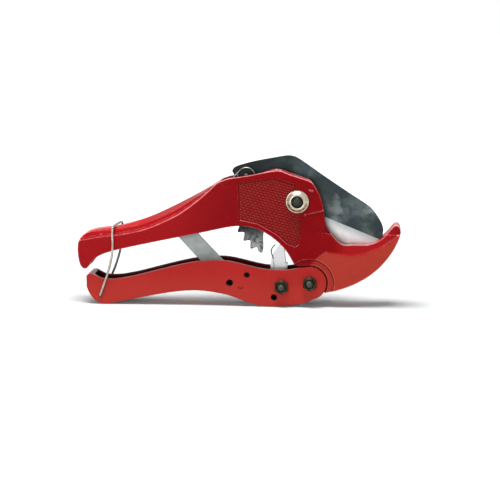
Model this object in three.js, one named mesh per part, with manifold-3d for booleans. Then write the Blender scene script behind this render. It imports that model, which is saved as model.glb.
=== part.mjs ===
// Ratchet pipe cutter: cast frame with a hooked jaw, swinging blade, ratchet handle and wire latch
import * as THREE from 'three';
import { mergeVertices } from 'three/addons/utils/BufferGeometryUtils.js';
import Module from 'manifold-3d';

const wasm = await Module();
wasm.setup();

// Driving sizes in millimetres. X runs towards the jaw, Z is up and -Y faces the nuts.
const toolLength = 204;
const bodyWidth = 18;
const edgeRound = 0.8;
const fitGap = 0.3;
const runGap = 0.4;
const overrun = 2;

// Frame casting
const roofThickness = 3;
const sideWall = 2.8;
const crownRadius = 3.6;
const headCavityWidth = 10.4;
const jawSlotWidth = 3.2;
const panelDepth = 0.7;
const stepDepth = 0.5;
const lugRadius = 9.2;
const recessRadius = 15;
const slotSweepGap = 1.1;
const bossDiameter = 15;

// Blade
const bladeThickness = 2.4;
const edgeThickness = 0.4;
const bevelWidth = 11;
const toothTipRadius = 43.2;
const toothDepth = 2.9;
const toothCount = 8;
const toothPitchDegrees = 8.9;
const firstToothDegrees = 34.2;
const toothFaceDegrees = 1.2;
const toothCrestDegrees = 1.1;
const wornToothDrop = 1.5;

// Lower handle
const worksWidth = 8.3;
const channelRoomShare = 0.25;
const channelFloor = 2.4;
const earRadius = 10.5;
const lowerRound = 1.4;

// Fasteners
const bladeBoltDiameter = 7.2;
const bladeFlangeDiameter = 14.3;
const bladeFlangeThickness = 1.3;
const bladeNutAcross = 11.4;
const bladeNutHeight = 3.8;
const bladeBoltEnd = 0.9;
const pivotBoltDiameter = 4.8;
const pivotNutAcross = 8.6;
const pivotNutHeight = 3.6;
const pivotBoltEnd = 0.9;
const pivotBoltHead = 3.4;
const hexChamfer = 0.4;
const spacerWall = 1.1;
const washerThickness = 0.8;
const washerDiameter = 13.4;
const spreaderPinDiameter = 3.6;
const anchorPinDiameter = 2.9;
const stopPinDiameter = 3.3;
const pinInset = 0.4;

// Pawl
const cheekThickness = 1.1;
const pawlHubRadius = 5.6;
const noseReach = 13.3;
const noseRadius = 1;
const noseTiltDegrees = 10.3;
const noseFlankDegrees = 8;
const hubArcDegrees = [35, -215];
const noseArcDegrees = [150, 10];

// Spreader strap
const strapThickness = 2;
const strapWidth = 10.8;
const strapReach = 52;
const strapRoofGap = 0.74;
const strapStepDegrees = 0.1;
const strapRiseDegrees = 90;

// Wire pieces
const bailWire = 1.5;
const bailBend = 1.6;
const bailEase = 0.4;
const bladeSpringWire = 0.85;
const bladeSpringRadius = 5.3;
const bladeSpringTurns = 1.5;
const pawlSpringTurns = 2;
const pawlSpringPlay = 0.1;
const spreaderSpringTurns = 2.25;
const spreaderSpringPlay = 0.2125;
const coilSpacing = 0.45;
const studDiameter = 3.4;
const studHeadDiameter = 5.4;
const studHeadThickness = 0.8;

// Facet counts and the distance within which corners are welded
const roundSegments = 28;
const smallSegments = 20;
const crownSteps = 3;
const lowerRoundSteps = 2;
const strapEndSteps = 12;
const noseSteps = 8;
const coilSteps = 8;
const coilSides = 5;
const bailSteps = 90;
const bailSides = 8;
const weldDistance = 1e-4;

// Pivot places as shares of the tool length, [along, up]
const handlePivotShare = [0.2216, 0.0755];
const pawlPivotShare = [0.1348, 0.0637];
const bladePivotShare = [0.1828, 0.3284];
const spreaderPivotShare = [-0.025, 0.073];
const springAnchorShare = [0.0284, 0.0985];
const stopPinShare = [0.1118, 0.0299];
const bailPivotShare = [-0.4279, 0.027];

// Frame outline, one open run each, as shares of the tool length
const rearLipShares = [[-0.464, 0.117], [-0.470, 0.110]];
const rearEndShares = [
  [-0.478, 0.109], [-0.487, 0.116], [-0.494, 0.134], [-0.498, 0.165], [-0.495, 0.194],
  [-0.485, 0.211], [-0.470, 0.221],
];
const roofShares = [
  [-0.452, 0.2255], [-0.427, 0.2285], [-0.402, 0.2315], [-0.376, 0.2355], [-0.328, 0.250], [-0.281, 0.266],
  [-0.232, 0.290], [-0.184, 0.316], [-0.136, 0.340], [-0.100, 0.358], [-0.053, 0.379],
];
const headTopShares = [
  [-0.018, 0.397], [0.020, 0.402], [0.070, 0.412], [0.118, 0.422], [0.128, 0.422], [0.160, 0.410],
  [0.216, 0.392], [0.224, 0.388],
];
const throatShares = [
  [0.246, 0.356], [0.257, 0.328], [0.264, 0.300], [0.265, 0.275], [0.271, 0.255], [0.284, 0.231],
  [0.303, 0.208], [0.318, 0.196], [0.332, 0.194], [0.350, 0.197], [0.372, 0.196], [0.397, 0.196],
  [0.416, 0.202], [0.436, 0.212], [0.452, 0.227], [0.466, 0.244], [0.476, 0.257], [0.485, 0.259],
];
const hookShares = [
  [0.494, 0.252], [0.498, 0.238], [0.495, 0.224], [0.484, 0.196], [0.467, 0.167], [0.446, 0.140],
  [0.423, 0.116], [0.394, 0.094], [0.362, 0.076], [0.330, 0.062], [0.302, 0.053], [0.268, 0.045],
];
const lugArcDegrees = [-40, -242];
const archShares = [
  [0.173, 0.134], [0.157, 0.164], [0.142, 0.185], [0.120, 0.206], [0.093, 0.226], [0.064, 0.241],
  [0.034, 0.249], [0.005, 0.251], [-0.024, 0.248], [-0.081, 0.235], [-0.124, 0.225], [-0.223, 0.205],
  [-0.317, 0.184], [-0.388, 0.168], [-0.424, 0.155], [-0.439, 0.146], [-0.452, 0.133],
];

// Hollows of the frame, as shares of the tool length
const panelShares = [
  [0.002, 0.382], [0.117, 0.398], [0.176, 0.379], [0.186, 0.320], [0.192, 0.230], [0.187, 0.197],
  [0.177, 0.188], [0.153, 0.196], [0.120, 0.226], [0.064, 0.257], [0.011, 0.268], [0.004, 0.268],
];
const jawStepShares = [
  [0.222, 0.122], [0.235, 0.146], [0.258, 0.166], [0.271, 0.175], [0.300, 0.171], [0.350, 0.165],
  [0.393, 0.172], [0.435, 0.190], [0.487, 0.228], [0.520, 0.240], [0.520, 0.300], [0.262, 0.300],
  [0.204, 0.300], [0.204, 0.250], [0.215, 0.180],
];
const headCavityShares = [
  [-0.080, 0.100], [-0.080, 0.346], [-0.0535, 0.358], [-0.0535, 0.500], [0.240, 0.500], [0.240, 0.275],
  [0.216, 0.245], [0.181, 0.206], [0.166, 0.170], [0.164, 0.100],
];
const jawSlotShares = [
  [0.235, 0.540], [0.235, 0.300], [0.245, 0.196], [0.324, 0.162], [0.412, 0.151], [0.446, 0.176],
  [0.476, 0.218], [0.520, 0.250], [0.520, 0.540],
];
const handleHollowTopShare = 0.194;

// Rear of the blade beside its teeth, from the blade pivot as shares of the tooth tip radius
const bladeTailShares = [[-0.9293, 0.357], [-0.9553, 0.3948], [-0.96, 0.4231], [-0.9341, 0.4609]];
const sectorHeelShares = [[-0.476, -0.3891], [-0.5185, -0.493], [-0.5114, -0.7197]];
const studShare = [-0.7475, 0.3405];

// Front of the blade over its back and nose to the cutting edge and the heel
const bladeBackShares = [
  [0.001, 0.433], [0.020, 0.438], [0.040, 0.444], [0.079, 0.452], [0.118, 0.459], [0.138, 0.463],
  [0.153, 0.4645], [0.167, 0.463], [0.181, 0.458], [0.216, 0.434], [0.257, 0.405], [0.296, 0.379],
  [0.335, 0.353], [0.374, 0.328], [0.394, 0.316], [0.410, 0.302], [0.422, 0.286], [0.434, 0.267],
  [0.441, 0.254], [0.444, 0.238],
];
const bladeEdgeShares = [[0.441, 0.213], [0.430, 0.182], [0.415, 0.163], [0.245, 0.228]];
const bladeHeelShares = [[0.216, 0.239], [0.167, 0.247], [0.108, 0.254]];
const bevelStartShare = [0.263, 0.278];
const bevelEndShare = [0.4195, 0.2145];

// Lower handle outline: rim from the rear to the ear, then the underside back to the rear
const rimShares = [
  [-0.471, 0.088], [-0.464, 0.097], [-0.450, 0.097], [-0.438, 0.0885], [-0.425, 0.0815], [-0.407, 0.079],
  [-0.380, 0.080], [-0.363, 0.082], [-0.318, 0.091], [-0.271, 0.104], [-0.209, 0.121], [-0.147, 0.136],
  [-0.104, 0.142], [-0.063, 0.144], [-0.035, 0.143], [-0.007, 0.138], [0.034, 0.128], [0.068, 0.120],
  [0.102, 0.116], [0.154, 0.1155], [0.181, 0.122],
];
const earArcDegrees = [104, -78];
const undersideShares = [
  [0.216, 0.0165], [0.182, 0.008], [0.152, 0.004], [0.124, 0.000], [0.100, 0.000], [0.072, 0.002],
  [0.031, 0.012], [-0.009, 0.028], [-0.034, 0.036], [-0.082, 0.045], [-0.129, 0.0485], [-0.177, 0.0455],
  [-0.224, 0.038], [-0.272, 0.029], [-0.319, 0.019], [-0.381, 0.005], [-0.407, 0.000], [-0.422, 0.000],
  [-0.435, 0.005], [-0.452, 0.018], [-0.464, 0.035], [-0.471, 0.055],
];
const channelFrontShare = 0.195;

// Pawl cheek outline above its hub
const cheekShares = [
  [0.104, 0.072], [0.0985, 0.112], [0.1015, 0.144], [0.108, 0.164], [0.124, 0.1865], [0.134, 0.188],
  [0.1425, 0.176], [0.144, 0.155], [0.147, 0.128], [0.1605, 0.080],
];

// Leg of the wire latch from its pivot up to the bar, and the hook of the pawl spring
const bailLegShares = [
  [-0.4231, 0.0404], [-0.416, 0.0605], [-0.402, 0.100], [-0.394, 0.130], [-0.388, 0.160],
  [-0.386, 0.190], [-0.3865, 0.222],
];
const bailBarShare = [-0.3855, 0.2425];
const pawlSpringHookShares = [[0.1115, 0.190], [0.104, 0.181], [0.1005, 0.170], [0.1005, 0.152]];

// Spring legs as shares of the coil radius, measured from the end of the coil
const bladeSpringLegShares = [[0, -1.8], [0, -0.9]];
const bladeSpringTailShares = [[-0.15, -0.6], [-0.7, -1.1]];
const pawlSpringTailShares = [[0, -0.4], [0, -0.8]];
const spreaderLegShares = [3.4, 1.7];

// Derived widths and places
const half = bodyWidth / 2;
const pivotRadius = pivotBoltDiameter / 2;
const bladeBoltRadius = bladeBoltDiameter / 2;
const bladeHalf = bladeThickness / 2;
const channelHalf = (worksWidth + channelRoomShare * bodyWidth) / 2;
const channelWall = half - channelHalf;
const nutFace = half + fitGap;
const bladeBoltHead = bladeNutHeight + bladeBoltEnd;
const bladeCheekGap = bladeHalf + runGap;
const pawlHalf = bladeCheekGap + cheekThickness;
const bailHalf = half + fitGap + bailWire / 2;
const lugWidth = 2 * (channelHalf - runGap);
const pawlSpringRoom = channelHalf - pawlHalf - 2 * fitGap - pawlSpringPlay;
const pawlSpringWire = (pawlSpringRoom - coilSpacing * pawlSpringTurns) / (pawlSpringTurns + 1);
const strapSpringRoom = channelHalf - strapThickness / 2 - 2 * fitGap - spreaderSpringPlay;
const spreaderSpringWire = (strapSpringRoom - coilSpacing * spreaderSpringTurns) / (spreaderSpringTurns + 1);

const at = ([along, up]) => new THREE.Vector2(along * toolLength, up * toolLength);
const handlePivot = at(handlePivotShare);
const pawlPivot = at(pawlPivotShare);
const bladePivot = at(bladePivotShare);
const spreaderPivot = at(spreaderPivotShare);
const springAnchor = at(springAnchorShare);
const stopPin = at(stopPinShare);
const bailPivot = at(bailPivotShare);
const stud = atSector(studShare);
const strapDegrees = strapRestDegrees();

// Geometry helpers
function solidOf(geometry) {
  const bare = geometry.clone();
  bare.deleteAttribute('normal');
  bare.deleteAttribute('uv');
  const merged = mergeVertices(bare, weldDistance);
  const mesh = new wasm.Mesh({
    numProp: 3,
    vertProperties: new Float32Array(merged.attributes.position.array),
    triVerts: new Uint32Array(merged.index.array),
  });
  return new wasm.Manifold(mesh);
}

function geometryOf(body) {
  const mesh = body.getMesh();
  const geometry = new THREE.BufferGeometry();
  geometry.setAttribute('position', new THREE.BufferAttribute(new Float32Array(mesh.vertProperties), 3));
  geometry.setIndex(new THREE.BufferAttribute(new Uint32Array(mesh.triVerts), 1));
  return geometry;
}

function polar(centre, radius, degrees) {
  const angle = THREE.MathUtils.degToRad(degrees);
  return new THREE.Vector2(centre.x + radius * Math.cos(angle), centre.y + radius * Math.sin(angle));
}

function arc(centre, radius, fromDegrees, toDegrees, steps) {
  const points = [];
  for (let i = 0; i <= steps; i += 1) {
    points.push(polar(centre, radius, fromDegrees + (toDegrees - fromDegrees) * i / steps));
  }
  return points;
}

function atSector([along, up]) {
  return new THREE.Vector2(bladePivot.x + along * toothTipRadius, bladePivot.y + up * toothTipRadius);
}

function circle(centre, radius, segments = smallSegments) {
  return arc(centre, radius, 0, 360, segments).slice(0, segments);
}

function hexagon(centre, across) {
  return circle(centre, across / 2 / Math.cos(Math.PI / 6), 6);
}

function turnAbout(point, centre, degrees) {
  return point.clone().rotateAround(centre, THREE.MathUtils.degToRad(degrees));
}

// Solid prism of an outline in the X-Z plane, from one Y to another, with its rims rounded
function prism(outline, fromY, toY, round = 0, roundSteps = 1) {
  const geometry = new THREE.ExtrudeGeometry(new THREE.Shape(outline), {
    depth: toY - fromY - 2 * round,
    steps: 1,
    bevelEnabled: round > 0,
    bevelThickness: round,
    bevelSize: round,
    bevelOffset: -round,
    bevelSegments: roundSteps,
  });
  geometry.translate(0, 0, round);
  geometry.rotateX(Math.PI / 2);
  geometry.translate(0, toY, 0);
  return solidOf(geometry);
}

// Prism on one side of the middle plane, between two distances from it
function sidePrism(outline, side, inner, outer) {
  return prism(outline, Math.min(side * inner, side * outer), Math.max(side * inner, side * outer));
}

function rod(centre, radius, fromY, toY, segments = smallSegments) {
  return prism(circle(centre, radius, segments), fromY, toY);
}

function bore(body, centre, diameter) {
  return body.subtract(rod(centre, diameter / 2, -half - overrun, half + overrun));
}

function sideRing(centre, innerRadius, outerRadius, side, inner, outer) {
  const body = sidePrism(circle(centre, outerRadius), side, inner, outer);
  return bore(body, centre, 2 * innerRadius);
}

function wireCurve(points) {
  return new THREE.CatmullRomCurve3(points, false, 'centripetal');
}

function tube(points, diameter, steps, sides) {
  const section = new THREE.Shape(circle(new THREE.Vector2(0, 0), diameter / 2, sides));
  return new THREE.ExtrudeGeometry(section, { steps, extrudePath: wireCurve(points), bevelEnabled: false });
}

// Frame casting
function frameOutline() {
  return [
    ...rearLipShares.map(at),
    ...rearEndShares.map(at),
    ...roofShares.map(at),
    ...headTopShares.map(at),
    ...throatShares.map(at),
    ...hookShares.map(at),
    ...arc(handlePivot, lugRadius, lugArcDegrees[0], lugArcDegrees[1], smallSegments),
    ...archShares.map(at),
  ];
}

function crownOutline() {
  const rear = rearEndShares.map(at);
  const roof = roofShares.map(at);
  const roofEnd = roof[roof.length - 1];
  return [
    new THREE.Vector2(rear[0].x, -toolLength),
    ...rear,
    ...roof,
    new THREE.Vector2(roofEnd.x, toolLength),
    new THREE.Vector2(toolLength, toolLength),
    new THREE.Vector2(toolLength, -toolLength),
  ];
}

function handleHollowOutline() {
  const rearmost = Math.min(...rearEndShares.map((share) => at(share).x));
  const rearX = rearmost + sideWall;
  const under = roofShares
    .map(at)
    .map((point) => new THREE.Vector2(point.x, point.y - roofThickness))
    .filter((point) => point.x > rearX + sideWall);
  const last = under[under.length - 1];
  const frontX = last.x - sideWall;
  return [
    new THREE.Vector2(rearX, -overrun),
    new THREE.Vector2(rearX, handleHollowTopShare * toolLength - roofThickness),
    ...under.filter((point) => point.x < frontX),
    new THREE.Vector2(frontX, last.y - sideWall),
    new THREE.Vector2(frontX, -overrun),
  ];
}

function cutFrameSide(casting, side) {
  const outside = half + overrun;
  return casting
    .subtract(sidePrism(panelShares.map(at), side, half - panelDepth, outside))
    .subtract(sidePrism(jawStepShares.map(at), side, half - stepDepth, outside))
    .subtract(sidePrism(circle(handlePivot, recessRadius, roundSegments), side, lugWidth / 2, outside));
}

function makeFrame() {
  const hollowHalf = half - sideWall;
  const cavityHalf = headCavityWidth / 2;
  const bossFace = bladeHalf + fitGap + washerThickness + fitGap;
  const slotHalf = jawSlotWidth / 2;
  const crown = prism(crownOutline(), -half, half, crownRadius, crownSteps);
  let body = prism(frameOutline(), -half, half, edgeRound).intersect(crown);
  body = body.subtract(prism(handleHollowOutline(), -hollowHalf, hollowHalf));
  body = body.subtract(prism(headCavityShares.map(at), -cavityHalf, cavityHalf));
  for (const side of [-1, 1]) {
    body = body.add(sidePrism(circle(bladePivot, bossDiameter / 2), side, bossFace, cavityHalf + fitGap));
    body = cutFrameSide(body, side);
  }
  const sweep = bladeSweepRadius() + slotSweepGap;
  body = body.subtract(rod(bladePivot, sweep, -slotHalf, slotHalf, 2 * roundSegments));
  body = body.subtract(prism(jawSlotShares.map(at), -slotHalf, slotHalf));
  body = bore(body, bladePivot, bladeBoltDiameter + 2 * fitGap);
  return bore(body, handlePivot, pivotBoltDiameter + 2 * (spacerWall + 2 * fitGap));
}

// Blade with its ratchet sector
function bladeSweepRadius() {
  return Math.max(...bladeTailShares.map((share) => atSector(share).distanceTo(bladePivot)));
}

function toothPoint(radius, degreesFromDown) {
  return polar(bladePivot, radius, -90 - degreesFromDown);
}

function toothOutline() {
  const root = toothTipRadius - toothDepth;
  const points = [];
  for (let i = 0; i < toothCount; i += 1) {
    const start = firstToothDegrees + toothPitchDegrees * i;
    const tip = toothTipRadius - (i === 0 ? wornToothDrop : 0);
    points.push(toothPoint(root, start - toothFaceDegrees));
    points.push(toothPoint(tip, start));
    points.push(toothPoint(tip, start + toothCrestDegrees));
    points.push(toothPoint(root, start + toothPitchDegrees - 2 * toothFaceDegrees));
  }
  return points;
}

// Wedge that takes one face of the blade down to the cutting edge
function bevelCutter() {
  const start = at(bevelStartShare);
  const run = at(bevelEndShare).sub(start);
  const fall = bladeHalf - edgeThickness / 2;
  const section = new THREE.Shape([
    new THREE.Vector2(0, bladeHalf),
    new THREE.Vector2(2 * bevelWidth, bladeHalf - 2 * fall),
    new THREE.Vector2(2 * bevelWidth, bladeHalf + overrun),
    new THREE.Vector2(0, bladeHalf + overrun),
  ]);
  const geometry = new THREE.ExtrudeGeometry(section, { depth: 2 * run.length(), bevelEnabled: false });
  const direction = new THREE.Vector3(run.x, 0, run.y).normalize();
  const towardEdge = new THREE.Vector3(direction.z, 0, -direction.x);
  geometry.applyMatrix4(new THREE.Matrix4().makeBasis(towardEdge, new THREE.Vector3(0, 1, 0), direction));
  geometry.translate(start.x - run.x / 2, 0, start.y - run.y / 2);
  return solidOf(geometry);
}

function makeBlade() {
  const outline = [
    ...bladeTailShares.map(atSector),
    ...bladeBackShares.map(at),
    ...bladeEdgeShares.map(at),
    ...bladeHeelShares.map(at),
    ...sectorHeelShares.map(atSector),
    ...toothOutline(),
  ];
  const cutter = bevelCutter();
  let body = prism(outline, -bladeHalf, bladeHalf);
  body = body.subtract(cutter).subtract(cutter.mirror([0, 1, 0]));
  body = bore(body, bladePivot, bladeBoltDiameter + 2 * fitGap);
  return bore(body, stud, studDiameter + 2 * fitGap);
}

// Lower handle: a channel open at the top and at the front end of its floor
function lowerOutline() {
  const ear = arc(handlePivot, earRadius, earArcDegrees[0], earArcDegrees[1], smallSegments);
  return [...rimShares.map(at), ...ear, ...undersideShares.map(at)];
}

function lowerChannelOutline() {
  const frontX = channelFrontShare * toolLength;
  const floor = undersideShares
    .map(at)
    .map((point) => new THREE.Vector2(point.x, point.y + channelFloor))
    .filter((point) => point.x < frontX - channelWall && point.x > bailPivot.x)
    .reverse();
  const rearX = at(undersideShares[undersideShares.length - 1]).x + channelWall;
  const top = bladePivot.y;
  return [
    new THREE.Vector2(rearX, top),
    new THREE.Vector2(rearX, bailPivot.y + channelFloor),
    ...floor,
    new THREE.Vector2(frontX - channelFloor, floor[floor.length - 1].y),
    new THREE.Vector2(frontX, -overrun),
    new THREE.Vector2(toolLength, -overrun),
    new THREE.Vector2(toolLength, top),
  ];
}

function makeLowerHandle() {
  const holes = [
    [handlePivot, pivotBoltDiameter],
    [pawlPivot, pivotBoltDiameter],
    [spreaderPivot, spreaderPinDiameter],
    [springAnchor, anchorPinDiameter],
    [stopPin, stopPinDiameter],
    [bailPivot, bailWire],
  ];
  let body = prism(lowerOutline(), -half, half, lowerRound, lowerRoundSteps);
  body = body.subtract(prism(lowerChannelOutline(), -channelHalf, channelHalf));
  for (const [centre, diameter] of holes) {
    body = bore(body, centre, diameter + 2 * fitGap);
  }
  return body;
}

// Fasteners: the nut is on the near side and the head on the far side
function makeBolt(centre, diameter, across, headHeight, nearLength) {
  const shank = rod(centre, diameter / 2, -nutFace - nearLength, nutFace + headHeight / 2);
  return shank.add(prism(hexagon(centre, across), nutFace, nutFace + headHeight, hexChamfer));
}

function makeBladeBolt() {
  return makeBolt(bladePivot, bladeBoltDiameter, bladeNutAcross, bladeBoltHead, bladeNutHeight + bladeBoltEnd);
}

function makePivotBolt(centre) {
  return makeBolt(centre, pivotBoltDiameter, pivotNutAcross, pivotBoltHead, pivotNutHeight + pivotBoltEnd);
}

function makePivotNut(centre) {
  const outer = prism(hexagon(centre, pivotNutAcross), -nutFace - pivotNutHeight, -nutFace, hexChamfer);
  return outer.subtract(rod(centre, pivotRadius + fitGap, -nutFace - pivotNutHeight - overrun, 0));
}

function makeBladeNut() {
  const flangeOutline = circle(bladePivot, bladeFlangeDiameter / 2, roundSegments);
  const flange = prism(flangeOutline, -nutFace - bladeFlangeThickness, -nutFace);
  const outer = prism(hexagon(bladePivot, bladeNutAcross), -nutFace - bladeNutHeight, -nutFace, hexChamfer);
  const hole = rod(bladePivot, bladeBoltRadius + fitGap, -nutFace - bladeNutHeight - overrun, 0);
  return flange.add(outer).subtract(hole);
}

function makeBladeWasher(side) {
  const holeRadius = bladeBoltRadius + fitGap;
  const inner = bladeHalf + fitGap;
  return sideRing(bladePivot, holeRadius, washerDiameter / 2, side, inner, inner + washerThickness);
}

function makePivotBush() {
  const inner = pivotRadius + fitGap;
  return bore(rod(handlePivot, inner + spacerWall, -lugWidth / 2, lugWidth / 2), handlePivot, 2 * inner);
}

function makePawlSpacer(side) {
  const inner = pivotRadius + fitGap;
  return sideRing(pawlPivot, inner, inner + spacerWall, side, pawlHalf + fitGap, channelHalf - fitGap);
}

function makeStrapSpacer(side) {
  const inner = spreaderPinDiameter / 2 + fitGap;
  const from = strapThickness / 2 + fitGap;
  return sideRing(spreaderPivot, inner, inner + spacerWall, side, from, channelHalf - fitGap);
}

function makePin(centre, diameter) {
  return rod(centre, diameter / 2, -half + pinInset, half - pinInset);
}

// Pawl: two cheeks astride the blade, joined by a hub and by the nose that drives the teeth
function makePawl() {
  const outline = [
    ...cheekShares.map(at),
    ...arc(pawlPivot, pawlHubRadius, hubArcDegrees[0], hubArcDegrees[1], smallSegments),
  ];
  const nose = polar(pawlPivot, noseReach, 90 - noseTiltDegrees);
  const hubHalf = pawlHubRadius / 2;
  const noseOutline = [
    new THREE.Vector2(pawlPivot.x - hubHalf, pawlPivot.y),
    turnAbout(nose, pawlPivot, noseFlankDegrees),
    ...arc(nose, noseRadius, noseArcDegrees[0], noseArcDegrees[1], noseSteps),
    new THREE.Vector2(pawlPivot.x + hubHalf, pawlPivot.y),
  ];
  const noseHalf = pawlHalf - cheekThickness / 2;
  let body = rod(pawlPivot, pawlHubRadius, -pawlHalf, pawlHalf).add(prism(noseOutline, -noseHalf, noseHalf));
  for (const side of [-1, 1]) {
    body = body.add(sidePrism(outline, side, bladeCheekGap, pawlHalf));
  }
  return bore(body, pawlPivot, pivotBoltDiameter + 2 * fitGap);
}

// Gap between the strap's end at an angle and the underside of the frame's roof
function strapClearance(degrees) {
  const end = polar(spreaderPivot, strapReach, degrees);
  const centre = new THREE.Vector3(end.x, end.y, 0);
  const under = roofShares.map(at).map((point) => new THREE.Vector3(point.x, point.y - roofThickness, 0));
  const gaps = under.slice(1).map((point, i) => {
    const nearest = new THREE.Line3(under[i], point).closestPointToPoint(centre, true, new THREE.Vector3());
    return nearest.distanceTo(centre) - strapWidth / 2;
  });
  return Math.min(...gaps);
}

// Angle at which the strap, raised from level, comes up to the frame's roof
function strapRestDegrees() {
  const steps = Math.round(strapRiseDegrees / strapStepDegrees);
  const angles = Array.from({ length: steps }, (_, i) => 180 - strapRiseDegrees * i / steps);
  const gaps = angles.map(strapClearance);
  const reached = gaps.findIndex((gap) => gap <= strapRoofGap);
  return angles[reached < 0 ? gaps.indexOf(Math.min(...gaps)) : reached];
}

// Spreader strap: a flat bar that swings on its pin and props the handles apart
function makeStrap() {
  const radius = strapWidth / 2;
  const end = new THREE.Vector2(spreaderPivot.x + strapReach, spreaderPivot.y);
  const level = [
    ...arc(end, radius, -90, 90, strapEndSteps),
    ...arc(spreaderPivot, radius, 90, 270, strapEndSteps),
  ];
  const outline = level.map((point) => turnAbout(point, spreaderPivot, strapDegrees));
  const body = prism(outline, -strapThickness / 2, strapThickness / 2);
  return bore(body, spreaderPivot, spreaderPinDiameter + 2 * fitGap);
}

// Springs: each is one wire, a leg, its turns and a second leg
function ringPoint(centre, radius, degrees, y) {
  const point = polar(centre, radius, degrees);
  return new THREE.Vector3(point.x, y, point.y);
}

function coilPoints(centre, radius, turns, startDegrees, startY, pitch) {
  const points = [];
  for (let i = 0; i <= Math.round(turns * coilSteps); i += 1) {
    const turned = i / coilSteps;
    points.push(ringPoint(centre, radius, startDegrees + 360 * turned, startY - pitch * turned));
  }
  return points;
}

function legPoints(from, radius, shares) {
  return shares.map(([along, up]) => new THREE.Vector3(from.x + along * radius, from.y, from.z + up * radius));
}

// Least clear distance between two places on the wire that lie over four diameters apart along it
function leastGap(points, diameter) {
  const curve = wireCurve(points);
  const samples = curve.getSpacedPoints(points.length * coilSteps);
  const step = curve.getLength() / (samples.length - 1);
  const skip = Math.ceil(4 * diameter / step);
  let least = Infinity;
  for (let i = 0; i < samples.length; i += 1) {
    for (let j = i + skip; j < samples.length; j += 1) {
      least = Math.min(least, samples[i].distanceTo(samples[j]) - diameter);
    }
  }
  return least;
}

function makeSpring(name, points, diameter, turns) {
  console.log(`${name} least gap to itself ${leastGap(points, diameter).toFixed(2)} mm`);
  return tube(points, diameter, points.length + Math.round(turns * coilSteps), coilSides);
}

function makeBladeSpring() {
  const startY = -(bladeHalf + runGap + bladeSpringWire / 2);
  const pitch = bladeSpringWire + coilSpacing;
  const coil = coilPoints(stud, bladeSpringRadius, bladeSpringTurns, 0, startY, pitch);
  const points = [
    ...legPoints(coil[0], bladeSpringRadius, bladeSpringLegShares),
    ...coil,
    ...legPoints(coil[coil.length - 1], bladeSpringRadius, bladeSpringTailShares),
  ];
  return makeSpring('blade_return_spring', points, bladeSpringWire, bladeSpringTurns);
}

function makePawlSpring() {
  const startY = -(pawlHalf + fitGap + pawlSpringWire / 2);
  const pitch = pawlSpringWire + coilSpacing;
  const radius = pivotRadius + fitGap + spacerWall + fitGap + pawlSpringWire;
  const coil = coilPoints(pawlPivot, radius, pawlSpringTurns, 180, startY, pitch);
  const points = [
    ...pawlSpringHookShares.map(at).map((point) => new THREE.Vector3(point.x, startY, point.y)),
    ...coil,
    ...legPoints(coil[coil.length - 1], radius, pawlSpringTailShares),
  ];
  return makeSpring('pawl_spring', points, pawlSpringWire, pawlSpringTurns);
}

function makeSpreaderSpring() {
  const startY = -(strapThickness / 2 + fitGap + spreaderSpringWire / 2);
  const pitch = spreaderSpringWire + coilSpacing;
  const radius = spreaderPinDiameter / 2 + fitGap + spacerWall + fitGap + spreaderSpringWire;
  const start = strapDegrees + 90;
  const coil = coilPoints(spreaderPivot, radius, spreaderSpringTurns, start, startY, pitch);
  const last = coil[coil.length - 1];
  const along = ringPoint(new THREE.Vector2(0, 0), radius, strapDegrees, 0);
  const rest = (anchorPinDiameter + spreaderSpringWire) / 2 + fitGap;
  const underPin = new THREE.Vector3(springAnchor.x + rest / 2, last.y, springAnchor.y - rest);
  const points = [
    ...spreaderLegShares.map((share) => coil[0].clone().addScaledVector(along, share)),
    ...coil,
    last.clone().lerp(underPin, 1 / 2),
    underPin,
  ];
  return makeSpring('spreader_spring', points, spreaderSpringWire, spreaderSpringTurns);
}

function makeStud() {
  const coilDepth = bladeSpringWire + (bladeSpringWire + coilSpacing) * bladeSpringTurns;
  const far = bladeHalf + fitGap;
  const shank = rod(stud, studDiameter / 2, -(bladeHalf + runGap + coilDepth), far + studHeadThickness / 2);
  return shank.add(rod(stud, studHeadDiameter / 2, far, far + studHeadThickness));
}

// Wire latch: one bent wire, its ends turned in through the lower handle's walls
function bailSide(side) {
  const bar = at(bailBarShare);
  return [
    new THREE.Vector3(bailPivot.x, side * (channelHalf - fitGap), bailPivot.y),
    new THREE.Vector3(bailPivot.x, side * (bailHalf - bailWire), bailPivot.y),
    new THREE.Vector3(bailPivot.x, side * (bailHalf - bailEase), bailPivot.y + bailEase / 2),
    ...bailLegShares.map(at).map((point) => new THREE.Vector3(point.x, side * bailHalf, point.y)),
    new THREE.Vector3(bar.x, side * (bailHalf - bailEase), bar.y - bailWire / 2),
    new THREE.Vector3(bar.x, side * (bailHalf - bailBend), bar.y),
  ];
}

function makeBail() {
  return tube([...bailSide(-1), ...bailSide(1).reverse()], bailWire, bailSteps, bailSides);
}

// Materials
function material(colour, roughness, metalness) {
  return new THREE.MeshStandardMaterial({ color: colour, roughness, metalness });
}
const redPaint = () => material(0x981a20, 0.42, 0.15);
const redHandlePaint = () => material(0xb23a34, 0.42, 0.15);
const bladeSteel = () => material(0x475153, 0.4, 0.9);
const brightSteel = () => material(0xd8d8d6, 0.3, 0.9);
const zincPlate = () => material(0xc9c6b8, 0.28, 0.95);
const blackOxide = () => material(0x2f3732, 0.45, 0.85);
const galvanised = () => material(0xb9bcba, 0.45, 0.85);
const springSteel = () => material(0x8c8a84, 0.35, 0.9);

// Assembly
const tool = new THREE.Group();
const frameGroup = new THREE.Group();
const bladeGroup = new THREE.Group();
const handleGroup = new THREE.Group();
tool.add(frameGroup, bladeGroup, handleGroup);

function put(group, name, geometry, finish) {
  const mesh = new THREE.Mesh(geometry, finish);
  mesh.name = name;
  group.add(mesh);
}

function putSolid(group, name, body, finish) {
  put(group, name, geometryOf(body), finish);
}

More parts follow.
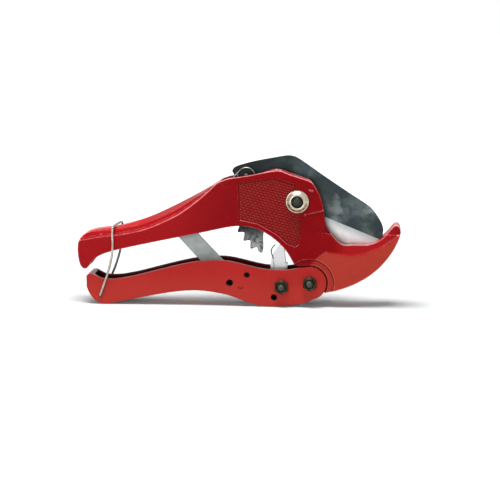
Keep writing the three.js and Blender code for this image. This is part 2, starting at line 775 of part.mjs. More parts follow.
putSolid(frameGroup, 'frame_casting', makeFrame(), redPaint());
putSolid(frameGroup, 'blade_pivot_bolt', makeBladeBolt(), blackOxide());
putSolid(frameGroup, 'blade_flange_nut', makeBladeNut(), zincPlate());
putSolid(frameGroup, 'handle_pivot_bush', makePivotBush(), springSteel());

putSolid(bladeGroup, 'blade', makeBlade(), bladeSteel());
putSolid(bladeGroup, 'blade_washer_near', makeBladeWasher(-1), zincPlate());
putSolid(bladeGroup, 'blade_washer_far', makeBladeWasher(1), zincPlate());
putSolid(bladeGroup, 'blade_spring_stud', makeStud(), brightSteel());
put(bladeGroup, 'blade_return_spring', makeBladeSpring(), springSteel());

putSolid(handleGroup, 'lower_handle', makeLowerHandle(), redHandlePaint());
putSolid(handleGroup, 'handle_pivot_bolt', makePivotBolt(handlePivot), blackOxide());
putSolid(handleGroup, 'handle_pivot_nut', makePivotNut(handlePivot), blackOxide());
putSolid(handleGroup, 'pawl_bolt', makePivotBolt(pawlPivot), blackOxide());
putSolid(handleGroup, 'pawl_nut', makePivotNut(pawlPivot), blackOxide());
putSolid(handleGroup, 'pawl_spacer_near', makePawlSpacer(-1), galvanised());
putSolid(handleGroup, 'pawl_spacer_far', makePawlSpacer(1), galvanised());
putSolid(handleGroup, 'pawl', makePawl(), brightSteel());
put(handleGroup, 'pawl_spring', makePawlSpring(), springSteel());
putSolid(handleGroup, 'pawl_spring_pin', makePin(stopPin, stopPinDiameter), blackOxide());
putSolid(handleGroup, 'spreader_pin', makePin(spreaderPivot, spreaderPinDiameter), blackOxide());
putSolid(handleGroup, 'spreader_strap', makeStrap(), galvanised());
putSolid(handleGroup, 'spreader_spacer_near', makeStrapSpacer(-1), galvanised());
putSolid(handleGroup, 'spreader_spacer_far', makeStrapSpacer(1), galvanised());
put(handleGroup, 'spreader_spring', makeSpreaderSpring(), springSteel());
putSolid(handleGroup, 'spring_anchor_pin', makePin(springAnchor, anchorPinDiameter), blackOxide());
put(handleGroup, 'latch_bail', makeBail(), brightSteel());

export default tool;
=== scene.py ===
"""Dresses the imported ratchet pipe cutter: castings, blade, fasteners, wires, finishes and studio."""

import logging
import math
from abc import ABC, abstractmethod
from collections.abc import Callable
from dataclasses import dataclass
from enum import Enum

import bmesh
import bpy
import numpy as np
from mathutils import Matrix, Vector

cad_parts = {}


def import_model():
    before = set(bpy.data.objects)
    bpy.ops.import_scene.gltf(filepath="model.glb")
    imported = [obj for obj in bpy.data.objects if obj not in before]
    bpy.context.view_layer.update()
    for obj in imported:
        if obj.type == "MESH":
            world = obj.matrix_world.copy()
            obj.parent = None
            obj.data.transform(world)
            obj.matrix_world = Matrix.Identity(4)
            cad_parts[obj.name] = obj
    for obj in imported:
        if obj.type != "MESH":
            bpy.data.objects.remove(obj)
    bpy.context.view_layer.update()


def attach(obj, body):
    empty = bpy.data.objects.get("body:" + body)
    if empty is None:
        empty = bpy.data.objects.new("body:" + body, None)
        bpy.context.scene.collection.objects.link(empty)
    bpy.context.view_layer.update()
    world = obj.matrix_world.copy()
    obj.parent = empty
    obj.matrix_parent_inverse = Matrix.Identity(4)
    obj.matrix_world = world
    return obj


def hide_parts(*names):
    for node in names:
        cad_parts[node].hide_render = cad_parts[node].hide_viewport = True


LOG = logging.getLogger("pipe_cutter")
Point = tuple[float, float]
Run = list[Point]
Outline = list[tuple[Run, int]]
Colour = tuple[float, float, float, float]
BMesh = bmesh.types.BMesh
Piece = bpy.types.Object
Material = bpy.types.Material
Socket = bpy.types.NodeSocket

# Millimetres, as the castings are drawn; every mesh is scaled to metres when it is done
METRES = 0.001
MERGE_DISTANCE = 0.001
LENGTH = 204.0
GAP = 0.3

# Distances from the middle plane: the castings' sides, the seats of nuts and heads, the cutters' ends
SIDE = 9.0
NUT_FACE = SIDE + GAP
BEYOND = SIDE + 3.0

# Radii of the bolts and pins, and of the bores round them
BLADE_SHANK = 3.6
BOLT_SHANK = 2.4
STRAP_PIN = 1.8
ANCHOR_PIN = 1.45
STOP_PEG = 1.65
STUD_PIN = 1.7
BLADE_BORE = BLADE_SHANK + GAP
BOLT_BORE = BOLT_SHANK + GAP
STRAP_BORE = STRAP_PIN + GAP
BAIL_WIRE = 1.5

# Degrees: the strap's lie, and how sharp an edge has to be to stay sharp in the shading
STRAP_TURN = 133.3
STRAIGHT_DOWN = -90.0
WIRE_ANGLE = 60.0
ALL_SMOOTH = 180.0

UNIFORM = (1.0, 1.0, 1.0)


class Cut(Enum):
    """How one solid changes another."""

    ADD = "UNION"
    TAKE = "DIFFERENCE"
    KEEP = "INTERSECT"


class Side(Enum):
    """A side of the tool, as the sign of its Y."""

    NEAR = -1
    FAR = 1


def at(share: Point) -> Point:
    """Returns a share of the tool's length as a place in millimetres."""
    return share[0] * LENGTH, share[1] * LENGTH


def run(*shares: Point) -> Run:
    """Returns a run of places in millimetres from shares of the tool's length."""
    return [at(share) for share in shares]


HANDLE_PIVOT = at((0.2216, 0.0755))
PAWL_PIVOT = at((0.1348, 0.0637))
BLADE_PIVOT = at((0.1828, 0.3284))
STRAP_PIVOT = at((-0.025, 0.073))
SPRING_ANCHOR = at((0.0284, 0.0985))
STOP_PIN = at((0.1118, 0.0299))
BAIL_PIVOT = at((-0.4279, 0.027))
STUD = at((0.0245, 0.4005))
BEVEL_START = at((0.263, 0.278))
BEVEL_END = at((0.4195, 0.2145))
ORIGIN = (0.0, 0.0)


def span(side: Side, inner: float, outer: float) -> tuple[float, float]:
    """Returns the lower and the higher Y of two distances from the middle plane."""
    low, high = sorted((side.value * inner, side.value * outer))
    return low, high


def polar(centre: Point, radius: float, degrees: float) -> Point:
    """Returns the place at a radius and an angle about a centre."""
    angle = math.radians(degrees)
    return centre[0] + radius * math.cos(angle), centre[1] + radius * math.sin(angle)


def arc(centre: Point, radius: float, start: float, end: float, steps: int = 24) -> Run:
    """Returns a run along an arc.

    Args:
        centre: Middle of the arc.
        radius: Its radius.
        start: First angle in degrees.
        end: Last angle in degrees.
        steps: How many chords it has.

    Returns:
        The places from the first angle to the last.
    """
    return [polar(centre, radius, start + (end - start) * i / steps) for i in range(steps + 1)]


# Meshes


def new_object(name: str, bm: BMesh) -> Piece:
    """Moves a finished bmesh into an object of the scene.

    Args:
        name: Name of the object.
        bm: The mesh, in millimetres; it is freed.

    Returns:
        The object.
    """
    mesh = bpy.data.meshes.new(name)
    bm.to_mesh(mesh)
    bm.free()
    made = bpy.data.objects.new(name, mesh)
    bpy.context.scene.collection.objects.link(made)
    return made


def apply_modifiers(obj: Piece) -> None:
    """Puts what an object's modifiers make in place of its mesh.

    Args:
        obj: The object, which keeps no modifier.
    """
    graph = bpy.context.evaluated_depsgraph_get()
    made = bpy.data.meshes.new_from_object(obj.evaluated_get(graph))
    old = obj.data
    obj.modifiers.clear()
    obj.data = made
    bpy.data.meshes.remove(old)


def combine(body: Piece, tool: Piece, how: Cut) -> Piece:
    """Joins, cuts or trims one solid with another, which is used up.

    Args:
        body: The solid that stays.
        tool: The solid that changes it.
        how: The operation.

    Returns:
        The changed body.
    """
    modifier = body.modifiers.new("cut", "BOOLEAN")
    modifier.operation = how.value
    modifier.solver = "EXACT"
    modifier.object = tool
    apply_modifiers(body)
    old = tool.data
    bpy.data.objects.remove(tool)
    bpy.data.meshes.remove(old)
    return body


def trace(bm: BMesh, runs: Outline, y: float) -> None:
    """Draws a closed outline of wire, rounding each run between its ends.

    Args:
        bm: The mesh that takes the wire.
        runs: Each run of places with the cuts per chord that round it, or 0 to leave it as drawn.
        y: Where the outline's plane lies.
    """
    mark = bm.edges.layers.int.new("run")
    groups = [[bm.verts.new((x, y, z)) for x, z in places] for places, _ in runs]
    for number, group in enumerate(groups, 1):
        for pair in zip(group, group[1:]):
            bm.edges.new(pair)[mark] = number
    for group, after in zip(groups, groups[1:] + groups[:1]):
        bm.edges.new((group[-1], after[0]))
    for number, (_, cuts) in enumerate(runs, 1):
        if cuts == 0:
            continue
        own = [edge for edge in bm.edges if edge[mark] == number]
        bmesh.ops.subdivide_edges(bm, edges=own, cuts=cuts)
        soft = [vert for vert in bm.verts if all(edge[mark] == number for edge in vert.link_edges)]
        for _ in range(2 * cuts):
            bmesh.ops.smooth_vert(
                bm, verts=soft, factor=0.5, use_axis_x=True, use_axis_y=True, use_axis_z=True
            )


def push_out(bm: BMesh, border: list, way: Vector) -> None:
    """Fills a border and extrudes the face.

    Args:
        bm: The mesh.
        border: The edges or the corners round the face.
        way: How far and which way it is pushed.
    """
    face = bmesh.ops.contextual_create(bm, geom=border)["faces"]
    made = bmesh.ops.extrude_face_region(bm, geom=face)["geom"]
    moved = [item for item in made if isinstance(item, bmesh.types.BMVert)]
    bmesh.ops.translate(bm, vec=way, verts=moved)
    bmesh.ops.recalc_face_normals(bm, faces=bm.faces[:])


def slab(name: str, runs: Outline, low: float, high: float) -> Piece:
    """Makes a flat plate of an outline.

    Args:
        name: Name of the plate.
        runs: The outline, as trace() takes it.
        low: Y of its nearer face.
        high: Y of its farther face.

    Returns:
        The plate.
    """
    bm = bmesh.new()
    trace(bm, runs, low)
    push_out(bm, bm.edges[:], Vector((0.0, high - low, 0.0)))
    return new_object(name, bm)


def middle_slab(name: str, places: Run, half: float) -> Piece:
    """Makes a sharp-cornered plate astride the middle plane."""
    return slab(name, [(places, 0)], -half, half)


def side_slab(name: str, places: Run, side: Side, inner: float, outer: float) -> Piece:
    """Makes a sharp-cornered plate on one side of the middle plane, between two distances from it."""
    return slab(name, [(places, 0)], *span(side, inner, outer))


def lathe(name: str, centre: Point, profile: list[Point], steps: int = 48) -> Piece:
    """Turns a profile about a line along Y.

    Args:
        name: Name of the turned solid.
        centre: Place of the axis.
        profile: Closed or axis-to-axis run of (radius, Y).
        steps: Facets round the axis.

    Returns:
        The turned solid.
    """
    bm = bmesh.new()
    axis = Vector((centre[0], 0.0, centre[1]))
    verts = [bm.verts.new((centre[0] + radius, y, centre[1])) for radius, y in profile]
    closed = min(radius for radius, _ in profile) > 0
    pairs = list(zip(verts, verts[1:])) + ([(verts[-1], verts[0])] if closed else [])
    edges = [bm.edges.new(pair) for pair in pairs]
    bmesh.ops.spin(
        bm,
        geom=verts + edges,
        cent=axis,
        axis=(0.0, 1.0, 0.0),
        angle=math.tau,
        steps=steps,
        use_merge=True,
    )
    bmesh.ops.remove_doubles(bm, verts=bm.verts[:], dist=MERGE_DISTANCE)
    bmesh.ops.recalc_face_normals(bm, faces=bm.faces[:])
    return new_object(name, bm)


def rod(name: str, centre: Point, radius: float, low: float, high: float, edge: float = 0.0) -> Piece:
    """Makes a round rod along Y.

    Args:
        name: Name of the rod.
        centre: Place of its axis.
        radius: Its radius.
        low: Y of its nearer end.
        high: Y of its farther end.
        edge: Chamfer of its ends, or 0 for sharp ones.

    Returns:
        The rod.
    """
    if edge == 0.0:
        return lathe(name, centre, [(0.0, low), (radius, low), (radius, high), (0.0, high)])
    profile = [(0.0, low), (radius - edge, low), (radius, low + edge)]
    profile += [(radius, high - edge), (radius - edge, high), (0.0, high)]
    return lathe(name, centre, profile)


def ring(name: str, centre: Point, inner: float, outer: float, low: float, high: float) -> Piece:
    """Makes a turned ring with broken outer edges.

    Args:
        name: Name of the ring.
        centre: Place of its axis.
        inner: Its inner radius.
        outer: Its outer radius.
        low: Y of its nearer face.
        high: Y of its farther face.

    Returns:
        The ring.
    """
    edge = 0.12
    profile = [
        (inner, low), (outer - edge, low), (outer, low + edge),
        (outer, high - edge), (outer - edge, high), (inner, high),
    ]
    return lathe(name, centre, profile)


def drill(body: Piece, centre: Point, radius: float) -> Piece:
    """Drills a round hole right through a body along Y."""
    return combine(body, rod("drill", centre, radius, -2 * SIDE, 2 * SIDE), Cut.TAKE)


def wire(name: str, points: list[Vector], diameter: float, resolution: int = 6) -> Piece:
    """Bends a round wire through points.

    Args:
        name: Name of the wire.
        points: Places along its middle.
        diameter: Its diameter.
        resolution: Steps between two points.

    Returns:
        The wire as a mesh object.
    """
    curve = bpy.data.curves.new(name, "CURVE")
    curve.dimensions = "3D"
    curve.bevel_depth = diameter / 2
    curve.bevel_resolution = 4
    curve.resolution_u = resolution
    curve.use_fill_caps = True
    spline = curve.splines.new("BEZIER")
    spline.bezier_points.add(len(points) - 1)
    for knot, place in zip(spline.bezier_points, points):
        knot.co = place
        knot.handle_left_type = knot.handle_right_type = "AUTO"
    bent = bpy.data.objects.new(name, curve)
    bpy.context.scene.collection.objects.link(bent)
    graph = bpy.context.evaluated_depsgraph_get()
    mesh = bpy.data.meshes.new_from_object(bent.evaluated_get(graph))
    bpy.data.objects.remove(bent)
    bpy.data.curves.remove(curve)
    bm = bmesh.new()
    bm.from_mesh(mesh)
    bpy.data.meshes.remove(mesh)
    bmesh.ops.remove_doubles(bm, verts=bm.verts[:], dist=MERGE_DISTANCE)
    bmesh.ops.recalc_face_normals(bm, faces=bm.faces[:])
    return new_object(name, bm)


def line_distance(flat: np.ndarray, start: np.ndarray, end: np.ndarray, skip: float = 0.0) -> np.ndarray:
    """Measures how far places lie from a straight line.

    Args:
        flat: The places, as X and Z.
        start: The line's first end.
        end: Its other end.
        skip: Share of the line that is left out at its first end.

    Returns:
        One distance for each place.
    """
    along = end - start
    share = np.clip((flat - start) @ along / (along @ along), skip, 1)
    return np.linalg.norm(flat - start - share[:, None] * along, axis=1)


def read_points(mesh: bpy.types.Mesh, name: str) -> np.ndarray:
    """Reads three numbers of every point of a mesh.

    Args:
        mesh: The mesh.
        name: What is read, such as "co" or "normal".

    Returns:
        One row for each point.
    """
    values = np.empty(3 * len(mesh.vertices))
    mesh.vertices.foreach_get(name, values)
    return values.reshape(-1, 3)


def measure_bends(mesh: bpy.types.Mesh, passes: int) -> np.ndarray:
    """Measures how sharply a surface bends at each point, per millimetre; a hollow is below zero.

    Args:
        mesh: The mesh, in millimetres.
        passes: How often each value is evened out with its neighbours'.

    Returns:
        One value for each point.
    """
    places, normals = read_points(mesh, "co"), read_points(mesh, "normal")
    ends = np.empty(2 * len(mesh.edges), dtype=np.int64)
    mesh.edges.foreach_get("vertices", ends)
    first, second = ends.reshape(-1, 2).T
    steps = places[second] - places[first]
    squares = np.maximum((steps**2).sum(axis=1), 1e-6)
    both = np.concatenate((first, second))
    count = np.maximum(np.bincount(both, minlength=len(places)), 1)
    turned_first = -2 * (steps * normals[first]).sum(axis=1) / squares
    turned_second = 2 * (steps * normals[second]).sum(axis=1) / squares
    turned = np.concatenate((turned_first, turned_second))
    bend = np.bincount(both, weights=turned, minlength=len(places)) / count
    for _ in range(passes):
        other = np.concatenate((bend[second], bend[first]))
        bend = (bend + np.bincount(both, weights=other, minlength=len(places)) / count) / 2
    return bend


def mark_bends(body: Piece, flat: float = 0.04, reach: float = 0.5) -> None:
    """Stores the bends of a surface as its attribute "bend".

    Long edges that run from a bend across a flat are split close to the bend, so that its value
    doesn't spread over the flat.

    Args:
        body: The solid, drawn in millimetres.
        flat: A bend below this counts as flat.
        reach: How far from a bend the long edges are split.
    """
    bend = measure_bends(body.data, 0)
    bm = bmesh.new()
    bm.from_mesh(body.data)
    shares = {}
    for edge in bm.edges:
        bent = [abs(bend[vert.index]) > flat for vert in edge.verts]
        length = edge.calc_length()
        if length > 2 * reach and any(bent):
            shares[edge] = reach / length if bent[0] else 1 - reach / length
    bmesh.ops.subdivide_edges(bm, edges=list(shares), cuts=1, edge_percents=shares)
    bmesh.ops.triangulate(bm, faces=bm.faces[:])
    bm.to_mesh(body.data)
    bm.free()
    layer = body.data.attributes.new("bend", "FLOAT", "POINT")
    layer.data.foreach_set("value", measure_bends(body.data, 1).astype(np.float32))


def soften(
    body: Piece,
    voxel: float,
    passes: int,
    keep: float,
    relief: Callable[[np.ndarray], np.ndarray] | None = None,
) -> None:
    """Gives a solid the soft edges of a painted casting.

    Args:
        body: The solid.
        voxel: Size of the cells that it is rebuilt from.
        passes: How often its points are drawn together.
        keep: Share of its faces that stays.
        relief: Returns how far each place is pushed out from the middle plane, if at all.
    """
    rebuild = body.modifiers.new("rebuild", "REMESH")
    rebuild.mode = "VOXEL"
    coarse = 1
    rebuild.voxel_size = voxel * coarse
    ease = body.modifiers.new("ease", "SMOOTH")
    ease.factor = 0.5
    ease.iterations = passes // coarse
    apply_modifiers(body)
    if relief is not None:
        places = read_points(body.data, "co")
        places[:, 1] += np.sign(places[:, 1]) * relief(places)
        body.data.vertices.foreach_set("co", places.ravel())
    thin = body.modifiers.new("thin", "DECIMATE")
    thin.ratio = keep
    apply_modifiers(body)
    mark_bends(body)


def round_edges(body: Piece, width: float, angle: float, segments: int = 2) -> None:
    """Rounds the sharp edges of a machined or stamped piece.

    Args:
        body: The piece.
        width: Width of the rounding.
        angle: Edges sharper than this, in degrees, are rounded.
        segments: Facets of the rounding.
    """
    modifier = body.modifiers.new("edges", "BEVEL")
    modifier.width = width
    modifier.segments = segments
    modifier.limit_method = "ANGLE"
    modifier.angle_limit = math.radians(angle)
    modifier.harden_normals = False
    apply_modifiers(body)


def hand_over(
    piece: Piece,
    body: str,
    material: Material,
    nodes: tuple[str, ...],
    flat_angle: float = 40.0,
) -> Piece:
    """Finishes a piece: metres, shading, material, body and the nodes that it stands for.

    Args:
        piece: The piece, drawn in millimetres.
        body: The body that it rides on.
        material: Its finish.
        nodes: The CAD nodes that it replaces.
        flat_angle: Edges sharper than this, in degrees, stay sharp.

    Returns:
        The finished piece.
    """
    piece.data.transform(Matrix.Scale(METRES, 4))
    piece.data.materials.clear()
    piece.data.materials.append(material)
    piece.data.shade_smooth()
    piece.data.set_sharp_from_angle(angle=math.radians(flat_angle))
    if flat_angle < ALL_SMOOTH:
        even = piece.modifiers.new("even", "WEIGHTED_NORMAL")
        even.keep_sharp = True
        apply_modifiers(piece)
    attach(piece, body)
    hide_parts(*nodes)
    LOG.info("%s rides on %s: %d faces", piece.name, body, len(piece.data.polygons))
    return piece


# Finishes


def linear(red: int, green: int, blue: int) -> Colour:
    """Converts an 8-bit screen colour to the renderer's linear one.

    Args:
        red: Its red, from 0 to 255.
        green: Its green.
        blue: Its blue.

    Returns:
        The colour, with an alpha of 1.
    """
    parts = []
    for share in (red / 255, green / 255, blue / 255):
        parts.append(share / 12.92 if share <= 0.04045 else ((share + 0.055) / 1.055) ** 2.4)
    return parts[0], parts[1], parts[2], 1.0


def grey(value: int) -> Colour:
    """Returns a screen grey as a linear colour."""
    return linear(value, value, value)


def direct_rays(tree: bpy.types.NodeTree) -> Socket:
    """Adds nodes that tell rays from the camera, off gloss and through glass from all others.

    Args:
        tree: The node tree of a material or of the world.

    Returns:
        1 for such a ray, 0 for any other.
    """
    rays = tree.nodes.new("ShaderNodeLightPath").outputs
    largest = rays["Is Camera Ray"]
    for word in ("Is Glossy Ray", "Is Transmission Ray"):
        larger = tree.nodes.new("ShaderNodeMath")
        larger.operation = "MAXIMUM"
        tree.links.new(largest, larger.inputs[0])
        tree.links.new(rays[word], larger.inputs[1])
        largest = larger.outputs[0]
    return largest


class Graph:
    """A material's node tree, with short calls for the nodes that the finishes share."""

    def __init__(self, name: str) -> None:
        """Starts a material with one shader and its output.

        Args:
            name: Name of the material.
        """
        self.material = bpy.data.materials.new(name)
        self.material.use_nodes = True
        self.tree = self.material.node_tree
        self.tree.nodes.clear()
        self.shader = self.tree.nodes.new("ShaderNodeBsdfPrincipled")
        output = self.tree.nodes.new("ShaderNodeOutputMaterial")
        self.tree.links.new(self.shader.outputs[0], output.inputs[0])
        self.place = self.tree.nodes.new("ShaderNodeTexCoord").outputs["Object"]

    def feed(self, socket: Socket, value: object) -> None:
        """Links a socket to another one, or sets it.

        Args:
            socket: The input socket.
            value: The output socket that it is linked to, or its value.
        """
        if isinstance(value, Socket):
            self.tree.links.new(value, socket)
        else:
            socket.default_value = value

    def node(self, kind: str, inputs: dict | None = None, **settings: object) -> bpy.types.Node:
        """Adds a node.

        Args:
            kind: Its type, without the leading ShaderNode.
            inputs: Values or sockets by input name or number.
            settings: Its own properties.

        Returns:
            The node.
        """
        made = self.tree.nodes.new("ShaderNode" + kind)
        for key, value in settings.items():
            setattr(made, key, value)
        for key, value in (inputs or {}).items():
            self.feed(made.inputs[key], value)
        return made

    def math(self, operation: str, first: object, second: object = 0.0) -> Socket:
        """Returns the result of a Math node."""
        return self.node("Math", {0: first, 1: second}, operation=operation).outputs[0]

    def product(self, *factors: object) -> Socket:
        """Multiplies shares with each other.

        Args:
            factors: Two or more sockets or numbers.

        Returns:
            Their product.
        """
        result = factors[0]
        for factor in factors[1:]:
            result = self.math("MULTIPLY", result, factor)
        return result

    def ramp(self, value: object, low: float, high: float, start: float = 0.0, end: object = 1.0) -> Socket:
        """Maps a value smoothly from one range to another and holds it at the ends.

        Args:
            value: What is mapped.
            low: The value that gives the start.
            high: The value that gives the end; it may be the smaller one.
            start: First result.
            end: Last result.

        Returns:
            The result.
        """
        ranges = {"Value": value, "From Min": low, "From Max": high, "To Min": start, "To Max": end}
        return self.node("MapRange", ranges, interpolation_type="SMOOTHSTEP").outputs[0]

    def mix(self, share: object, first: object, second: object) -> Socket:
        """Returns one colour mixed into another."""
        return self.node("Mix", {0: share, 6: first, 7: second}, data_type="RGBA").outputs[2]

    def noise(self, scale: float, detail: float, stretch: tuple = UNIFORM, turn: float = 0.0) -> Socket:
        """Spreads noise over the object's coordinates.

        Args:
            scale: Waves per metre.
            detail: Octaves.
            stretch: Scale along each axis.
            turn: Turn about Y in degrees, before the stretch.

        Returns:
            The noise, from 0 to 1.
        """
        rotation = (0.0, math.radians(turn), 0.0)
        turned = self.node("Mapping", {"Vector": self.place, "Rotation": rotation}).outputs[0]
        spread = self.node("Mapping", {"Vector": turned, "Scale": stretch}).outputs[0]
        made = self.node("TexNoise", {"Vector": spread, "Scale": scale, "Detail": detail})
        return made.outputs["Fac"]

    def axes(self) -> tuple[Socket, ...]:
        """Returns the object's X, Y and Z in metres."""
        return tuple(self.node("SeparateXYZ", {0: self.place}).outputs)

    def facing(self) -> Socket:
        """Returns how far the surface faces up, from -1 to 1."""
        normal = self.node("TexCoord").outputs["Normal"]
        return self.node("SeparateXYZ", {0: normal}).outputs[2]

    def bump(self, height: object, depth: float, under: object = None) -> Socket:
        """Raises the surface's normal by a height.

        Args:
            height: The pattern of the bumps.
            depth: Their height in metres.
            under: A normal that was raised before, if any.

        Returns:
            The normal.
        """
        inputs = {"Height": height, "Distance": depth, "Strength": 1.0}
        if under is not None:
            inputs["Normal"] = under
        return self.node("Bump", inputs).outputs[0]

    def dress(self, shade: object, roughness: object, normal: object) -> Material:
        """Feeds the shader.

        Args:
            shade: Its colour.
            roughness: Its roughness.
            normal: Its normal.

        Returns:
            The finished material.
        """
        for name, value in (("Base Color", shade), ("Roughness", roughness), ("Normal", normal)):
            self.feed(self.shader.inputs[name], value)
        return self.material


@dataclass(frozen=True)
class Surface:
    """What the layers of a paint are placed by: lengths in metres, slope and bends."""

    graph: Graph
    east: Socket
    away: Socket
    up: Socket
    facing: Socket
    bend: Socket

    @classmethod
    def of(cls, graph: Graph) -> "Surface":
        """Reads a surface.

        Args:
            graph: The paint's node tree.

        Returns:
            X, the distance from the middle plane, Z, how far it faces up and how it bends.
        """
        east, across, up = graph.axes()
        bend = graph.node("Attribute", attribute_name="bend").outputs["Fac"]
        return cls(graph, east, graph.math("ABSOLUTE", across), up, graph.facing(), bend)


@dataclass(frozen=True)
class Paint(ABC):
    """Glossy red paint on a casting, with painted shade in its hollows and on its inner walls, painted
    highlights on its edges and painted floor-bounce light below.
    """

    name: str
    colour: Colour
    floor_bounce_colour: Colour
    deep_tone_and_hollow_shade: Colour
    edge_highlight_colour: Colour
    edge_highlight_side: float
    edge_highlight_top: float
    top_gloss: float
    inside_shade_colour: Colour = linear(56, 4, 12)
    edge_from: float = 0.1
    edge_to: float = 0.36
    hollow_shade_from: float = -0.05
    hollow_shade_to: float = -0.35
    side_gloss: float = 0.06
    roughness: float = 0.2

    @abstractmethod
    def low(self, surface: Surface) -> Socket:
        """Returns the share of painted light bounced from the floor onto the casting's lower part."""

    @abstractmethod
    def inside(self, surface: Surface) -> Socket:
        """Returns the share of painted shade: 1 on the inner walls and 0 on the outer faces."""

    def layers(self, surface: Surface, shade: Socket, low: Socket) -> Socket:
        """Returns the colour as it is, where a casting has no layers of its own."""
        return shade

    def wear(self, surface: Surface, shade: Socket) -> Socket:
        """Returns the colour as it is, where a casting is rubbed only at its edges."""
        return shade

    def upper_gloss(self, surface: Surface) -> object:
        """Returns the gloss of the faces that look up."""
        return self.top_gloss

    def edges(self, surface: Surface) -> Socket:
        """Finds the edges that get a painted highlight.

        Args:
            surface: What the paint is placed by.

        Returns:
            How strong the painted highlight is on an edge, more on top than on the sides.
        """
        graph = surface.graph
        sharp = graph.ramp(surface.bend, self.edge_from, self.edge_to)
        return graph.product(sharp, graph.ramp(surface.facing, 0.05, 0.5, self.edge_highlight_side, self.edge_highlight_top))

    def build(self) -> Material:
        """Builds the paint.

        Returns:
            The material.
        """
        graph = Graph(self.name)
        surface = Surface.of(graph)
        clouds = graph.noise(55.0, 5.0)
        shade = graph.mix(graph.ramp(clouds, 0.3, 0.7, 0.0, 0.2), self.colour, self.deep_tone_and_hollow_shade)
        low = self.low(surface)
        # Painted light bounced from the floor, paler on the lower part
        shade = graph.mix(low, shade, self.floor_bounce_colour)
        # Painted shade: concave hollows darken towards the deep colour
        hollow = graph.ramp(surface.bend, self.hollow_shade_from, self.hollow_shade_to, 0.0, 0.75)
        shade = self.layers(surface, graph.mix(hollow, shade, self.deep_tone_and_hollow_shade), low)
        # Painted shade on the inner walls
        shade = graph.mix(self.inside(surface), shade, self.inside_shade_colour)
        # Painted highlight along the edges, broken up in patches
        patches = graph.ramp(graph.noise(260.0, 3.0), 0.3, 0.6, 0.6, 1.0)
        shade = graph.mix(graph.product(self.edges(surface), patches), shade, self.edge_highlight_colour)
        shade = self.wear(surface, shade)
        grain = graph.bump(graph.noise(700.0, 2.0), 0.00003)
        waves = graph.bump(graph.noise(120.0, 2.0), 0.00012, grain)
        rough = graph.ramp(graph.noise(180.0, 3.0), 0.3, 0.7, self.roughness - 0.04, self.roughness + 0.08)
        gloss = graph.ramp(surface.facing, 0.68, 0.95, self.side_gloss, self.upper_gloss(surface))
        graph.feed(graph.shader.inputs["Specular IOR Level"], gloss)
        return graph.dress(shade, rough, waves)


